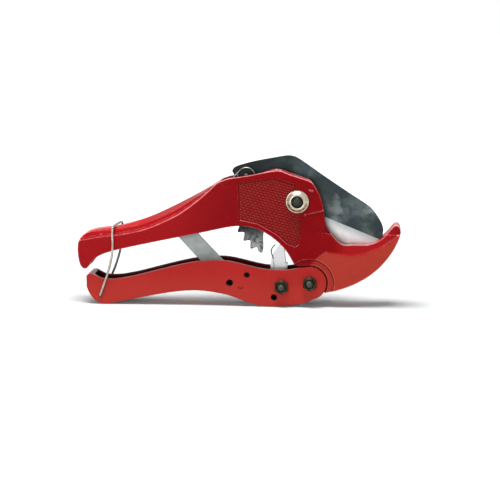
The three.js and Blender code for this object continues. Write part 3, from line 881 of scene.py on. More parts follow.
@dataclass(frozen=True)
class FramePaint(Paint):
    """The frame's paint: painted floor-bounce light below the jaw's crease, darker on the panels' floors,
    painted light from above on the roof.
    """

    roof_light_colour: Colour = linear(190, 26, 28)
    pale_colour: Colour = linear(176, 26, 30)
    pale_share: float = 0.45
    floor_rim: Colour = linear(108, 14, 12)
    floor_top: Colour = linear(134, 30, 25)
    crease: tuple[Point, ...] = (
        (38.0, 18.0), (45.3, 27.9), (52.7, 33.8), (55.3, 35.6), (71.4, 33.7), (80.1, 35.1),
        (88.8, 38.8), (99.4, 46.4),
    )

    def low(self, surface: Surface) -> Socket:
        """Finds the part below the crease that runs along the jaw, which gets painted floor-bounce light.

        Args:
            surface: What the paint is placed by.

        Returns:
            1 below the crease, 0 above it, with a soft edge.
        """
        graph = surface.graph
        first, last = self.crease[0][0] * METRES, self.crease[-1][0] * METRES
        share = graph.ramp(surface.east, first, last)
        share.node.interpolation_type = "LINEAR"
        line = graph.node("ValToRGB", {"Fac": share})
        stops = line.color_ramp.elements
        while len(stops) < len(self.crease):
            stops.new(0.5)
        for stop, (x, _) in zip(stops, self.crease):
            stop.position = (x * METRES - first) / (last - first)
        # A colour holds at most 1, so a height is kept there in tenths of a metre
        for stop, (_, z) in zip(stops, self.crease):
            stop.color = (z / 100, z / 100, z / 100, 1.0)
        height = graph.product(line.outputs["Color"], 0.1)
        below = graph.ramp(graph.math("SUBTRACT", height, surface.up), -0.0008, 0.0020)
        return graph.product(below, graph.ramp(surface.east, 0.0435, 0.0465))

    def front(self, surface: Surface) -> Socket:
        """Returns 0 at the upper handle's rear end and 1 in front of it."""
        return surface.graph.ramp(surface.east, -0.062, -0.046)

    def panel_floor(self, surface: Surface) -> Socket:
        """Finds the sunken floors of the side panels.

        Args:
            surface: What the paint is placed by.

        Returns:
            Up to 0.9 on the floors, broken up by fine noise, and 0 elsewhere.
        """
        graph, away = surface.graph, surface.away
        return graph.product(
            graph.ramp(away, 0.00866, 0.00855),
            graph.ramp(away, 0.0078, 0.0080),
            graph.ramp(surface.east, 0.0405, 0.0400),
            graph.ramp(surface.up, 0.036, 0.0365),
            graph.ramp(graph.noise(330.0, 3.0), 0.35, 0.65, 0.5, 0.9),
        )

    def layers(self, surface: Surface, shade: Socket, low: Socket) -> Socket:
        """Adds the panels' floors, painted light from above on the rear roof, and the paler rear and jaw.

        Args:
            surface: What the paint is placed by.
            shade: The colour so far.
            low: Where the painted floor-bounce light lies.

        Returns:
            The colour with these layers.
        """
        graph, east = surface.graph, surface.east
        cast = graph.mix(graph.ramp(surface.away, 0.00834, 0.00848), self.floor_rim, self.floor_top)
        shade = graph.mix(self.panel_floor(surface), shade, cast)
        # Painted light from above: the rear roof is lighter where it faces up
        rear = graph.ramp(self.front(surface), 0.0, 1.0, 0.75, 0.0)
        roof = graph.product(graph.ramp(surface.facing, 0.68, 0.9), rear)
        shade = graph.mix(roof, shade, self.roof_light_colour)
        jaw_rear = graph.ramp(east, 0.058, 0.07, 0.0, 1.4)
        jaw_tip = graph.ramp(east, 0.099, 0.090, 0.3, 1.0)
        pale = graph.math("MAXIMUM", graph.ramp(east, 0.0, -0.05), graph.product(jaw_rear, jaw_tip))
        pale = graph.product(pale, graph.ramp(low, 0.0, 1.0, 1.0, 0.0), self.pale_share)
        return graph.mix(pale, shade, self.pale_colour)

    def inside(self, surface: Surface) -> Socket:
        """Finds the channel's walls and the walls of the throat, which get painted shade.

        Args:
            surface: What the paint is placed by.

        Returns:
            The share of the painted shade colour, with soft edges.
        """
        graph, east, away, up = surface.graph, surface.east, surface.away, surface.up
        channel = graph.product(
            graph.ramp(away, 0.0066, 0.0062),
            graph.ramp(surface.facing, 0.5, 0.2),
            graph.math("MAXIMUM", graph.ramp(east, 0.034, 0.032), graph.ramp(up, 0.030, 0.034)),
            graph.ramp(east, -0.0993, -0.0990),
            graph.ramp(east, 0.050, 0.046, 0.0, 0.85),
        )
        # Painted shade on the throat's walls beside the blade
        throat = graph.product(
            graph.ramp(away, 0.0085, 0.0079),
            graph.ramp(east, 0.052, 0.055),
            graph.ramp(up, 0.034, 0.037),
            graph.ramp(east, 0.080, 0.066, 0.0, 0.8),
        )
        return graph.math("MAXIMUM", channel, throat)

    def edges(self, surface: Surface) -> Socket:
        """Keeps the painted edge highlights to the outer faces and to what looks up.

        Args:
            surface: What the paint is placed by.

        Returns:
            Where an edge gets its painted highlight.
        """
        graph = surface.graph
        outer = graph.ramp(surface.away, 0.00856, 0.0087, 0.35, 1.0)
        shown = graph.math("MAXIMUM", outer, graph.ramp(surface.facing, 0.45, 0.65))
        return graph.product(super().edges(surface), shown)

    def upper_gloss(self, surface: Surface) -> object:
        """Returns a gloss that is stronger in front of the rear end."""
        return surface.graph.ramp(self.front(surface), 0.0, 1.0, self.top_gloss, 3 * self.top_gloss)


@dataclass(frozen=True)
class HandlePaint(Paint):
    """The lower handle's paint, worn where the wire latch rubs its rear end."""

    worn_colour: Colour = linear(172, 138, 140)

    def low(self, surface: Surface) -> Socket:
        """Returns the share of painted floor-bounce light, which grows towards the floor."""
        return surface.graph.ramp(surface.up, 0.026, 0.006, 0.0, 0.8)

    def inside(self, surface: Surface) -> Socket:
        """Finds the walls and the floor of the channel, which get painted shade.

        Args:
            surface: What the paint is placed by.

        Returns:
            The share of the painted shade colour, with soft edges.
        """
        graph = surface.graph
        return graph.product(
            graph.ramp(surface.away, 0.0090, 0.0084),
            graph.ramp(surface.facing, -0.7, -0.3, 0.0, 0.9),
            graph.ramp(surface.east, -0.0925, -0.0915),
        )

    def wear(self, surface: Surface, shade: Socket) -> Socket:
        """Adds the rubbed top of the rear end.

        Args:
            surface: What the paint is placed by.
            shade: The colour so far.

        Returns:
            The colour with the rubbed place.
        """
        graph = surface.graph
        worn = graph.product(
            graph.ramp(surface.east, -0.0885, -0.0905),
            graph.ramp(surface.up, 0.0165, 0.0180),
            graph.ramp(surface.facing, 0.1, 0.6),
            graph.ramp(graph.noise(900.0, 2.0), 0.4, 0.6, 0.2, 1.0),
        )
        return graph.mix(worn, shade, self.worn_colour)


@dataclass(frozen=True)
class Steel:
    """Bare, plated or blackened steel with clouds, scratches and a soft gloss."""

    name: str
    colour: Colour
    stain: Colour
    roughness: float = 0.35
    clouds: float = 60.0
    brushed: float = 0.0
    metallic: float = 0.9
    end: float | None = None
    end_colour: Colour = (0.0, 0.0, 0.0, 1.0)
    end_axis: int = 1
    both_ends: bool = True
    end_soft: float = 0.0001

    def build(self) -> Material:
        """Builds the steel.

        Returns:
            The material.
        """
        graph = Graph(self.name)
        cloud = graph.noise(self.clouds, 6.0)
        shade = graph.mix(graph.ramp(cloud, 0.35, 0.68), self.colour, self.stain)
        if self.end is not None:
            place = graph.axes()[self.end_axis]
            if self.both_ends:
                place = graph.math("ABSOLUTE", place)
            tip = graph.ramp(place, self.end - self.end_soft, self.end + self.end_soft)
            shade = graph.mix(tip, shade, self.end_colour)
        grain = graph.noise(500.0, 3.0, (1.0, 1.0, 0.06) if self.brushed else UNIFORM, self.brushed)
        rough = graph.ramp(grain, 0.3, 0.7, self.roughness - 0.07, self.roughness + 0.1)
        graph.shader.inputs["Metallic"].default_value = self.metallic
        return graph.dress(shade, rough, graph.bump(grain, 0.00002))


@dataclass(frozen=True)
class GroundSteel:
    """The blade's finish: mottled dark steel, with a bright ground band along the cutting edge."""

    name: str
    line_start: Point
    line_end: Point
    line_turn: float = 22.0
    band: float = 0.006
    metallic: float = 0.85

    def mottled(self, graph: Graph, east: Socket, up: Socket) -> Socket:
        """Colours the plate, with painted shade at its rear inside the head, and rubbed pale by the pawl
        and the pipe.

        Args:
            graph: The finish's node tree.
            east: The object's X.
            up: The object's Z.

        Returns:
            The colour.
        """
        clouds = graph.ramp(graph.noise(60.0, 6.0), 0.4, 0.62)
        shade = graph.mix(clouds, linear(42, 50, 51), linear(74, 82, 83))
        blue = graph.ramp(graph.noise(170.0, 5.0), 0.48, 0.66, 0.0, 0.6)
        shade = graph.mix(blue, shade, linear(38, 46, 56))
        green = graph.ramp(graph.noise(140.0, 3.0), 0.52, 0.66, 0.0, 0.6)
        shade = graph.mix(green, shade, linear(40, 60, 50))
        pale = graph.ramp(graph.noise(90.0, 6.0), 0.54, 0.68)
        pale = graph.product(pale, graph.ramp(east, 0.045, 0.075), 0.5)
        shade = graph.mix(pale, shade, linear(138, 143, 144))
        # Painted shade: the rear, where the blade lies inside the head, darkens almost to black
        shade = graph.mix(graph.ramp(east, 0.058, 0.018, 0.0, 0.85), shade, linear(16, 23, 24))
        low = graph.product(graph.ramp(up, 0.050, 0.034), graph.ramp(east, 0.030, 0.022))
        spots = graph.ramp(graph.noise(420.0, 3.0), 0.42, 0.62, 0.25, 1.0)
        return graph.mix(graph.product(low, spots), shade, linear(142, 145, 143))

    def build(self) -> Material:
        """Builds the blade's steel.

        Returns:
            The material.
        """
        graph = Graph(self.name)
        east, _, up = graph.axes()
        shade = self.mottled(graph, east, up)
        run_x, run_z = self.line_end[0] - self.line_start[0], self.line_end[1] - self.line_start[1]
        length = math.hypot(run_x, run_z)
        across = (run_z / length, 0.0, -run_x / length)
        start = Vector((self.line_start[0], 0.0, self.line_start[1])) * METRES
        offset = graph.node("VectorMath", {0: graph.place, 1: start}, operation="SUBTRACT").outputs[0]
        past = graph.node("VectorMath", {0: offset, 1: across}, operation="DOT_PRODUCT").outputs["Value"]
        ground = graph.product(graph.ramp(past, -0.0001, 0.0002), graph.ramp(east, 0.0485, 0.0495))
        lines = graph.noise(900.0, 2.0, (1.0, 1.0, 0.03), self.line_turn)
        bright = graph.mix(graph.ramp(past, 0.0, self.band), linear(152, 156, 158), linear(206, 206, 204))
        bright = graph.mix(graph.ramp(lines, 0.3, 0.7, 0.0, 0.3), bright, linear(178, 180, 180))
        rough = graph.ramp(graph.noise(220.0, 4.0), 0.3, 0.7, 0.34, 0.5)
        graph.shader.inputs["Metallic"].default_value = self.metallic
        return graph.dress(graph.mix(ground, shade, bright), rough, graph.bump(lines, 0.000015))


class Finishes:
    """Every finish of the tool, built once."""

    def __init__(self) -> None:
        """Builds the materials."""
        bright = grey(190)
        black = linear(58, 58, 48), linear(34, 35, 29)
        jet = linear(20, 18, 17), linear(12, 10, 10)
        self.frame_paint = FramePaint(
            "frame_paint", colour=linear(132, 0, 7), floor_bounce_colour=linear(168, 54, 42), deep_tone_and_hollow_shade=linear(98, 0, 5),
            edge_highlight_colour=linear(236, 136, 140), edge_highlight_side=0.25, edge_highlight_top=0.85, top_gloss=0.25,
        ).build()
        self.handle_paint = HandlePaint(
            "handle_paint", colour=linear(170, 38, 36), floor_bounce_colour=linear(174, 52, 44),
            deep_tone_and_hollow_shade=linear(128, 20, 22), edge_highlight_colour=linear(120, 56, 54), edge_highlight_side=0.35, edge_highlight_top=0.35,
            top_gloss=0.15,
        ).build()
        self.blade_steel = GroundSteel("blade_steel", BEVEL_START, BEVEL_END).build()
        # Painted shade: the pawl's core within 1.65 mm of the middle is dark grey; the cheeks past it are
        # bright steel
        self.pawl_steel = Steel(
            "pawl_steel", grey(74), grey(58), 0.32, brushed=70.0, end=0.00165, end_colour=bright
        ).build()
        # Painted shade and reflection: the stud is dark red-brown for the shaded inside of the head and the
        # red walls it reflects
        self.stud_steel = Steel("stud_steel", linear(104, 82, 78), linear(70, 58, 56), 0.35).build()
        # Painted shade: the latch's far leg, past the middle plane, is darker than the near one
        self.bail_steel = Steel(
            "bail_steel", linear(178, 170, 160), linear(150, 142, 132), 0.28, clouds=240.0, end=0.0,
            end_colour=linear(112, 106, 102), both_ends=False,
        ).build()
        self.zinc_plate = Steel(
            "zinc_plate", linear(190, 178, 156), linear(162, 154, 138), 0.24, clouds=300.0
        ).build()
        self.black_oxide = Steel("black_oxide", *black, 0.4, clouds=400.0).build()
        self.anchor_black = Steel(
            "anchor_black", *jet, 0.55, clouds=400.0, end=0.0084, end_colour=linear(96, 34, 30)
        ).build()
        self.pin_black = Steel("pin_black", *jet, 0.55, clouds=400.0).build()
        self.blade_bolt = Steel(
            "blade_bolt", *black, 0.45, clouds=400.0, end=0.0122, end_colour=linear(46, 50, 44)
        ).build()
        self.pivot_bolt = Steel(
            "pivot_bolt", *black, 0.45, clouds=400.0, end=0.0122, end_colour=linear(66, 68, 58)
        ).build()
        self.galvanised = Steel(
            "galvanised", linear(152, 158, 156), linear(142, 149, 147), 0.55, clouds=90.0, metallic=0.55
        ).build()
        self.spring_steel = Steel(
            "spring_steel", linear(138, 134, 128), linear(98, 96, 90), 0.3, clouds=300.0
        ).build()
        self.hook_steel = Steel(
            "hook_steel", bright, grey(150), 0.32, clouds=300.0, end=0.0298, end_colour=linear(62, 60, 58),
            end_axis=2,
        ).build()


# Sub-assemblies


@dataclass
class FrameCasting:
    """The frame: upper handle, head and hooked jaw in one casting."""

    roof_thickness: float = 3.0
    shoulder_thickness: float = 5.4
    ridge_half: float = 3.4
    side_wall: float = 2.8
    cavity_half: float = 5.2
    mouth_half: float = 6.2
    slot_half: float = 1.6
    panel_depth: float = 0.7
    step_depth: float = 0.5
    lug_half: float = 6.5
    lug_radius: float = 9.2
    bush_bore: float = 4.1
    boss_radius: float = 7.5
    sweep_radius: float = 46.0
    hollow_rear: float = -98.8
    hollow_front: float = -13.6
    hollow_front_top: float = 74.5
    recess_radius: float = 15.2
    recess_depth: float = 0.9
    ear_room: float = 11.2
    rim_top: float = 26.3
    row: float = 1.6
    dash: float = 2.6
    dash_height: float = 0.24
    groove_width: float = 0.8
    groove_depth: float = 0.1
    panel_edge: float = 0.9
    row_turn: float = -14.0
    step_start: float = 41.6
    step_full: float = 52.6
    step_soft: float = 1.5
    crease: tuple[Point, ...] = (
        (41.6, 20.4), (45.3, 24.9), (47.9, 29.8), (52.63, 33.9), (55.3, 35.7), (61.2, 34.9), (71.4, 33.7),
        (80.2, 35.1), (88.7, 38.8), (99.3, 46.5), (106.1, 49.0),
    )
    pocket_upper: tuple[Point, ...] = ((41.6, 58.4), (47.5, 59.9), (57.0, 62.1))
    pocket_lower: tuple[Point, ...] = ((41.6, 47.4), (51.0, 48.2), (57.0, 46.8))
    pocket_fall: float = 0.06
    pocket_length: float = 16.0
    pocket_soft: float = 0.6
    bead_half: float = 1.2
    bead_height: float = 0.3
    relief_from: float = 3.0
    relief_fade: float = 5.5
    voxel: float = 0.31
    passes: int = 7
    kept_faces: float = 0.24

    def outline(self) -> Outline:
        """Draws the casting from its side.

        Returns:
            The outline in rounded runs: the outside, the lug and the arch between the handles.
        """
        outside = run(
            (-0.464, 0.117), (-0.470, 0.110), (-0.478, 0.109), (-0.487, 0.116), (-0.494, 0.134),
            (-0.498, 0.165), (-0.496, 0.194), (-0.487, 0.211), (-0.471, 0.2225), (-0.452, 0.2290),
            (-0.427, 0.2335), (-0.402, 0.2360), (-0.376, 0.2395), (-0.328, 0.2530), (-0.281, 0.2675),
            (-0.232, 0.290), (-0.184, 0.314), (-0.136, 0.339), (-0.100, 0.360), (-0.075, 0.374),
            (-0.055, 0.387), (-0.032, 0.3955), (-0.018, 0.398), (0.020, 0.403), (0.070, 0.413),
            (0.090, 0.420), (0.116, 0.4275), (0.129, 0.4275), (0.160, 0.4155), (0.216, 0.397),
            (0.226, 0.391), (0.2475, 0.357), (0.257, 0.328),
            (0.264, 0.300), (0.265, 0.275), (0.271, 0.255), (0.284, 0.231), (0.303, 0.208),
            (0.318, 0.196), (0.332, 0.194), (0.350, 0.197), (0.372, 0.196), (0.397, 0.196),
            (0.416, 0.202), (0.436, 0.212), (0.452, 0.227), (0.466, 0.244), (0.476, 0.257),
            (0.485, 0.259), (0.494, 0.252), (0.498, 0.238), (0.495, 0.224), (0.484, 0.196),
            (0.467, 0.167), (0.446, 0.140), (0.423, 0.116), (0.394, 0.094), (0.362, 0.076),
            (0.330, 0.062), (0.302, 0.053), (0.268, 0.045),
        )
        arch = run(
            (0.173, 0.134), (0.157, 0.164), (0.142, 0.185), (0.120, 0.206), (0.093, 0.226),
            (0.064, 0.241), (0.034, 0.249), (0.005, 0.251), (-0.024, 0.248), (-0.081, 0.235),
            (-0.124, 0.225), (-0.223, 0.205), (-0.317, 0.184), (-0.388, 0.168), (-0.424, 0.155),
            (-0.439, 0.146), (-0.452, 0.133),
        )
        lug = arc(HANDLE_PIVOT, self.lug_radius, -40.0, -242.0)
        return [(outside, 3), (lug, 0), (arch, 3)]

    def crown(self) -> Piece:
        """Bridges sections into the solid that the upper handle's ridged roof is trimmed to.

        Each station along X has the heights of the side ridge, the upper ridge and the top. A section
        goes up the side wall, over both ridges and up in a soft curve to the top.

        Returns:
            The solid to keep.
        """
        stations = [
            (-108.0, 39.1, 43.4, 46.0), (-95.3, 41.3, 45.4, 48.0), (-87.0, 42.9, 46.7, 49.4),
            (-74.5, 44.3, 48.0, 51.0), (-61.9, 46.9, 50.5, 54.0), (-52.4, 50.2, 54.0, 57.4),
            (-43.0, 54.6, 58.4, 61.6), (-36.7, 57.9, 61.8, 64.8), (-30.4, 62.4, 65.6, 68.2),
            (-24.1, 67.4, 69.7, 71.6), (-17.8, 73.0, 74.5, 75.8), (-12.0, 78.9, 79.6, 80.2),
            (-6.0, 90.0, 91.0, 92.0), (8.0, 86.0, 87.0, 110.0), (14.0, 84.3, 85.1, 110.0),
            (20.0, 85.4, 86.5, 110.0), (24.0, 86.1, 87.3, 110.0), (27.0, 85.8, 87.0, 110.0),
            (32.6, 83.6, 84.9, 110.0), (38.0, 81.9, 83.2, 110.0), (44.1, 80.0, 81.2, 110.0),
            (46.8, 78.4, 79.8, 110.0), (50.0, 100.0, 101.0, 110.0), (112.0, 100.0, 101.0, 110.0),
        ]
        bm = bmesh.new()
        loops = []
        for x, ridge, upper, top in stations:
            rise = top - upper
            section = [(10.0, -20.0), (10.0, ridge - 1.3), (9.0, ridge), (6.2, upper)]
            section += [(4.0, upper + 0.38 * rise), (2.0, upper + 0.74 * rise), (0.4, top)]
            places = [(-y, z) for y, z in section] + section[::-1]
            verts = [bm.verts.new((x, y, z)) for y, z in places]
            loops.append([bm.edges.new(pair) for pair in zip(verts, verts[1:] + verts[:1])])
        for first, second in zip(loops, loops[1:]):
            bmesh.ops.bridge_loops(bm, edges=first + second)
        for end in (loops[0], loops[-1]):
            bmesh.ops.contextual_create(bm, geom=end)
        bmesh.ops.recalc_face_normals(bm, faces=bm.faces[:])
        return new_object("crown", bm)

    def hollow(self, roof: float, half: float) -> Piece:
        """Makes the solid of the upper handle's channel.

        Args:
            roof: Thickness that it leaves above itself.
            half: Half of its width.

        Returns:
            The solid to take away.
        """
        under = run(
            (-0.452, 0.2255), (-0.427, 0.2285), (-0.402, 0.2315), (-0.376, 0.2355), (-0.328, 0.250),
            (-0.281, 0.266), (-0.232, 0.290), (-0.184, 0.316), (-0.136, 0.340), (-0.100, 0.358),
        )
        places = [(x, z - roof) for x, z in under]
        floor, end_drop = -10.0, 3.4
        outline = [(self.hollow_rear, floor), (self.hollow_rear, places[0][1] - end_drop), *places]
        outline += [(self.hollow_front, self.hollow_front_top - roof), (self.hollow_front, floor)]
        return middle_slab("hollow", outline, half)

    def cavity(self) -> Piece:
        """Makes the solid of the head's cavity round the ratchet sector.

        Returns:
            The cavity with its wider mouth.
        """
        outline = run(
            (-0.080, 0.100), (-0.080, 0.346), (-0.0535, 0.358), (-0.0535, 0.500), (0.240, 0.500),
            (0.240, 0.275), (0.216, 0.245), (0.181, 0.206), (0.166, 0.170), (0.164, 0.100),
        )
        body = middle_slab("cavity", outline, self.cavity_half)
        mouth = run((-0.0535, 0.365), (-0.0535, 0.500), (0.230, 0.500), (0.230, 0.300), (0.100, 0.365))
        return combine(body, middle_slab("mouth", mouth, self.mouth_half), Cut.ADD)

    def panel_outline(self) -> Run:
        """Draws the sunken panel.

        Returns:
            Its outline.
        """
        return run(
            (0.002, 0.382), (0.117, 0.398), (0.176, 0.379), (0.186, 0.320), (0.192, 0.230),
            (0.187, 0.197), (0.177, 0.188), (0.153, 0.196), (0.120, 0.226), (0.064, 0.257),
            (0.011, 0.268), (0.004, 0.268),
        )

    def panel(self, side: Side) -> Piece:
        """Returns the cutter of one side's sunken panel."""
        return side_slab("panel", self.panel_outline(), side, SIDE - self.panel_depth, BEYOND)

    def to_border(self, places: np.ndarray) -> np.ndarray:
        """Measures how far inside the panel's outline places lie.

        Args:
            places: Places on the casting.

        Returns:
            The distance of each place to the outline, below zero outside it.
        """
        outline = np.array(self.panel_outline())
        flat = places[:, (0, 2)]
        away = np.full(len(flat), np.inf)
        inside = np.zeros(len(flat), dtype=bool)
        for start, end in zip(outline, np.roll(outline, -1, axis=0)):
            away = np.minimum(away, line_distance(flat, start, end))
            spans = (start[1] > flat[:, 1]) != (end[1] > flat[:, 1])
            if spans.any():
                cross = start[0] + (flat[:, 1] - start[1]) * (end[0] - start[0]) / (end[1] - start[1])
                inside ^= spans & (flat[:, 0] < cross)
        return np.where(inside, away, -away)

    def stipple(self, places: np.ndarray) -> np.ndarray:
        """Raises the rows of dashes on the floors of the side panels, with a groove round them.

        Args:
            places: Places on the casting.

        Returns:
            How far each place stands out from the panel's floor.
        """
        border = self.to_border(places)
        floor = np.abs(np.abs(places[:, 1]) - (SIDE - self.panel_depth)) < 0.2
        x, z = places[:, 0], places[:, 2]
        turn = math.radians(self.row_turn)
        along = x * math.cos(turn) + z * math.sin(turn)
        up = z * math.cos(turn) - x * math.sin(turn)
        number = np.floor(up / self.row)
        lift = np.sin(math.pi * (up / self.row - number))
        shift = along / self.dash + number / 2
        dash = np.sin(math.pi * (shift - np.floor(shift)))
        pattern = np.clip(lift, 0, 1) ** 0.8 * np.clip(dash, 0, 1) ** 0.5
        groove = np.clip(1 - border / self.groove_width, 0, 1) * self.groove_depth
        rows = np.where(border > self.panel_edge, pattern, 0.0) * self.dash_height
        return np.where(floor, rows - groove, 0.0)

    def sinking(self, places: np.ndarray) -> np.ndarray:
        """Sinks the jaw above its crease, and the throat's pocket.

        Args:
            places: Places on the casting.

        Returns:
            How far each place is drawn towards the middle plane.
        """
        x, z = places[:, 0], places[:, 2]
        crease = np.interp(x, *zip(*self.crease))
        upper = np.interp(x, *zip(*self.pocket_upper))
        lower = np.interp(x, *zip(*self.pocket_lower))
        clear = np.hypot(x - HANDLE_PIVOT[0], z - HANDLE_PIVOT[1]) > self.recess_radius + 0.2
        above = np.clip((z - crease) / self.step_soft + 0.5, 0, 1) * clear
        begun = np.clip((x - self.step_start) / (self.step_full - self.step_start), 0, 1)
        step = self.step_depth * begun * above
        over_lower = np.clip((z - lower) / self.pocket_soft + 0.5, 0, 1)
        under_upper = np.clip((upper - z) / self.pocket_soft + 0.5, 0, 1)
        fall = self.pocket_fall * np.clip(x - self.step_start, 0, self.pocket_length)
        return np.maximum(step, fall * (over_lower * under_upper))

    def bead(self, places: np.ndarray) -> np.ndarray:
        """Raises the soft rib along the upper border of the throat's pocket.

        Args:
            places: Places on the casting.

        Returns:
            How far each place stands out.
        """
        start, end = np.array(self.pocket_upper[0]), np.array(self.pocket_upper[-1])
        away = line_distance(places[:, (0, 2)], start, end, 0.05)
        return self.bead_height * np.clip(1 - (away / self.bead_half) ** 2, 0, 1)

    def relief(self, places: np.ndarray) -> np.ndarray:
        """Returns how far each place of the casting is pushed out from the middle plane."""
        outer = np.clip((np.abs(places[:, 1]) - self.relief_from) / self.relief_fade, 0, 1)
        return self.stipple(places) + outer * (self.bead(places) - self.sinking(places))

    def calm(self, body: Piece) -> None:
        """Lowers the stored bends on and round the side panels, so that their painted edge highlights and
        hollow shade stay faint.

        Args:
            body: The finished casting.
        """
        border = self.to_border(read_points(body.data, "co"))
        on_floor, round_it, elsewhere = 0.6, 0.32, 1.0
        bends = body.data.attributes["bend"].data
        values = np.empty(len(bends), dtype=np.float32)
        bends.foreach_get("value", values)
        values *= np.where(border > self.panel_edge, on_floor, np.where(border > -1.0, round_it, elsewhere))
        bends.foreach_set("value", values)

    def recess(self, body: Piece, side: Side) -> None:
        """Cuts the stepped round recess that one ear of the lower handle lies in.

        Args:
            body: The casting.
            side: The side that is cut.
        """
        steps = ((self.recess_radius, SIDE - self.recess_depth), (self.ear_room, self.lug_half))
        for radius, depth in steps:
            combine(body, rod("recess", HANDLE_PIVOT, radius, *span(side, depth, BEYOND)), Cut.TAKE)
        front = HANDLE_PIVOT[0] - 2.0
        rear = front - self.recess_radius
        corners = [(rear, -10.0), (rear, self.rim_top), (front, self.rim_top), (front, -10.0)]
        combine(body, side_slab("rear_recess", corners, side, self.lug_half, BEYOND), Cut.TAKE)

    def nib(self, side: Side) -> Piece:
        """Returns the small raised mark between the blade bolt and the head's front."""
        outline = [(44.4, 73.2), (44.4, 74.6), (47.0, 74.2), (47.0, 72.8)]
        return side_slab("nib", outline, side, SIDE - 1.0, SIDE + 0.45)

    def slot(self) -> Piece:
        """Makes the cutter of the slot that the blade swings down into.

        Returns:
            The cutter.
        """
        outline = run(
            (0.235, 0.540), (0.235, 0.300), (0.245, 0.196), (0.324, 0.162), (0.412, 0.151),
            (0.446, 0.176), (0.476, 0.218), (0.520, 0.250), (0.520, 0.540),
        )
        return middle_slab("slot", outline, self.slot_half)

    def build(self, finishes: Finishes) -> None:
        """Builds the casting and hands it over.

        Args:
            finishes: The tool's finishes.
        """
        body = slab("frame_body", self.outline(), -SIDE, SIDE)
        combine(body, self.crown(), Cut.KEEP)
        combine(body, self.hollow(self.roof_thickness, self.ridge_half), Cut.TAKE)
        combine(body, self.hollow(self.shoulder_thickness, SIDE - self.side_wall), Cut.TAKE)
        combine(body, self.cavity(), Cut.TAKE)
        for side in Side:
            boss = rod("boss", BLADE_PIVOT, self.boss_radius, *span(side, 2.6, 5.6))
            combine(body, boss, Cut.ADD)
            combine(body, self.panel(side), Cut.TAKE)
            combine(body, self.nib(side), Cut.ADD)
            self.recess(body, side)
        sweep = rod("sweep", BLADE_PIVOT, self.sweep_radius, -self.slot_half, self.slot_half)
        combine(body, sweep, Cut.TAKE)
        combine(body, self.slot(), Cut.TAKE)
        drill(body, BLADE_PIVOT, BLADE_BORE)
        drill(body, HANDLE_PIVOT, self.bush_bore)
        soften(body, self.voxel, self.passes, self.kept_faces, self.relief)
        self.calm(body)
        hand_over(body, "frame", finishes.frame_paint, ("frame_casting",), ALL_SMOOTH)


@dataclass
class LowerHandle:
    """The lower handle: a channel casting with two ears at the handle bolt."""

    wall: float = 2.1
    floor: float = 2.4
    ear_radius: float = 10.5
    channel_rear: float = -91.2
    channel_rear_floor: float = 7.9
    channel_front: float = 39.8
    dent_depth: float = 0.4
    voxel: float = 0.31
    passes: int = 6
    kept_faces: float = 0.3

    def rim(self) -> Run:
        """Draws the upper rim.

        Returns:
            The places from the rear to the ear.
        """
        return run(
            (-0.471, 0.088), (-0.464, 0.097), (-0.450, 0.097), (-0.438, 0.0885), (-0.425, 0.0815),
            (-0.407, 0.079), (-0.380, 0.080), (-0.363, 0.082), (-0.318, 0.091), (-0.271, 0.104),
            (-0.209, 0.121), (-0.147, 0.136), (-0.104, 0.142), (-0.063, 0.144), (-0.035, 0.143),
            (-0.007, 0.138), (0.034, 0.128), (0.068, 0.120), (0.102, 0.116), (0.154, 0.1155),
            (0.181, 0.122),
        )

    def underside(self) -> Run:
        """Draws the underside.

        Returns:
            The places from the ear back to the rear.
        """
        return run(
            (0.216, 0.0165), (0.182, 0.008), (0.152, 0.004), (0.124, 0.000), (0.100, 0.000),
            (0.072, 0.002), (0.031, 0.012), (-0.009, 0.028), (-0.034, 0.036), (-0.082, 0.045),
            (-0.129, 0.0485), (-0.177, 0.0455), (-0.224, 0.038), (-0.272, 0.029), (-0.319, 0.019),
            (-0.381, 0.005), (-0.407, 0.000), (-0.422, 0.000), (-0.435, 0.005), (-0.452, 0.018),
            (-0.464, 0.035), (-0.471, 0.055),
        )

    def channel(self) -> Piece:
        """Makes the solid of the channel between the two walls.

        Returns:
            The solid to take away, open above and in front.
        """
        front = self.channel_front - self.floor
        floor = [(x, z + self.floor) for x, z in self.underside() if BAIL_PIVOT[0] < x < front]
        floor.reverse()
        top, bottom, far_front = 70.0, -8.0, 120.0
        outline = [(self.channel_rear, top), (self.channel_rear, self.channel_rear_floor), *floor]
        outline += [(front, floor[-1][1]), (front, bottom), (far_front, bottom), (far_front, top)]
        return middle_slab("channel", outline, SIDE - self.wall)

    def dent(self, side: Side) -> Piece:
        """Makes the cutter of the small curved dent below the strap's pin.

        Args:
            side: The side that it is on.

        Returns:
            The cutter.
        """
        middle = (2.0, 13.6)
        outline = arc(middle, 2.6, 215.0, 325.0, 8) + arc(middle, 1.7, 325.0, 215.0, 8)
        return side_slab("dent", outline, side, SIDE - self.dent_depth, BEYOND)

    def build(self, finishes: Finishes) -> None:
        """Builds the casting and hands it over.

        Args:
            finishes: The tool's finishes.
        """
        ear = arc(HANDLE_PIVOT, self.ear_radius, 104.0, -78.0)
        body = slab("handle_body", [(self.rim(), 3), (ear, 0), (self.underside(), 3)], -SIDE, SIDE)
        combine(body, self.channel(), Cut.TAKE)
        holes = [
            (HANDLE_PIVOT, BOLT_BORE), (PAWL_PIVOT, BOLT_BORE), (STRAP_PIVOT, STRAP_BORE),
            (SPRING_ANCHOR, ANCHOR_PIN + GAP), (STOP_PIN, STOP_PEG + GAP),
            (BAIL_PIVOT, BAIL_WIRE / 2 + GAP),
        ]
        for centre, radius in holes:
            drill(body, centre, radius)
        for side in Side:
            combine(body, self.dent(side), Cut.TAKE)
        soften(body, self.voxel, self.passes, self.kept_faces)
        hand_over(body, "handle", finishes.handle_paint, ("lower_handle",), ALL_SMOOTH)


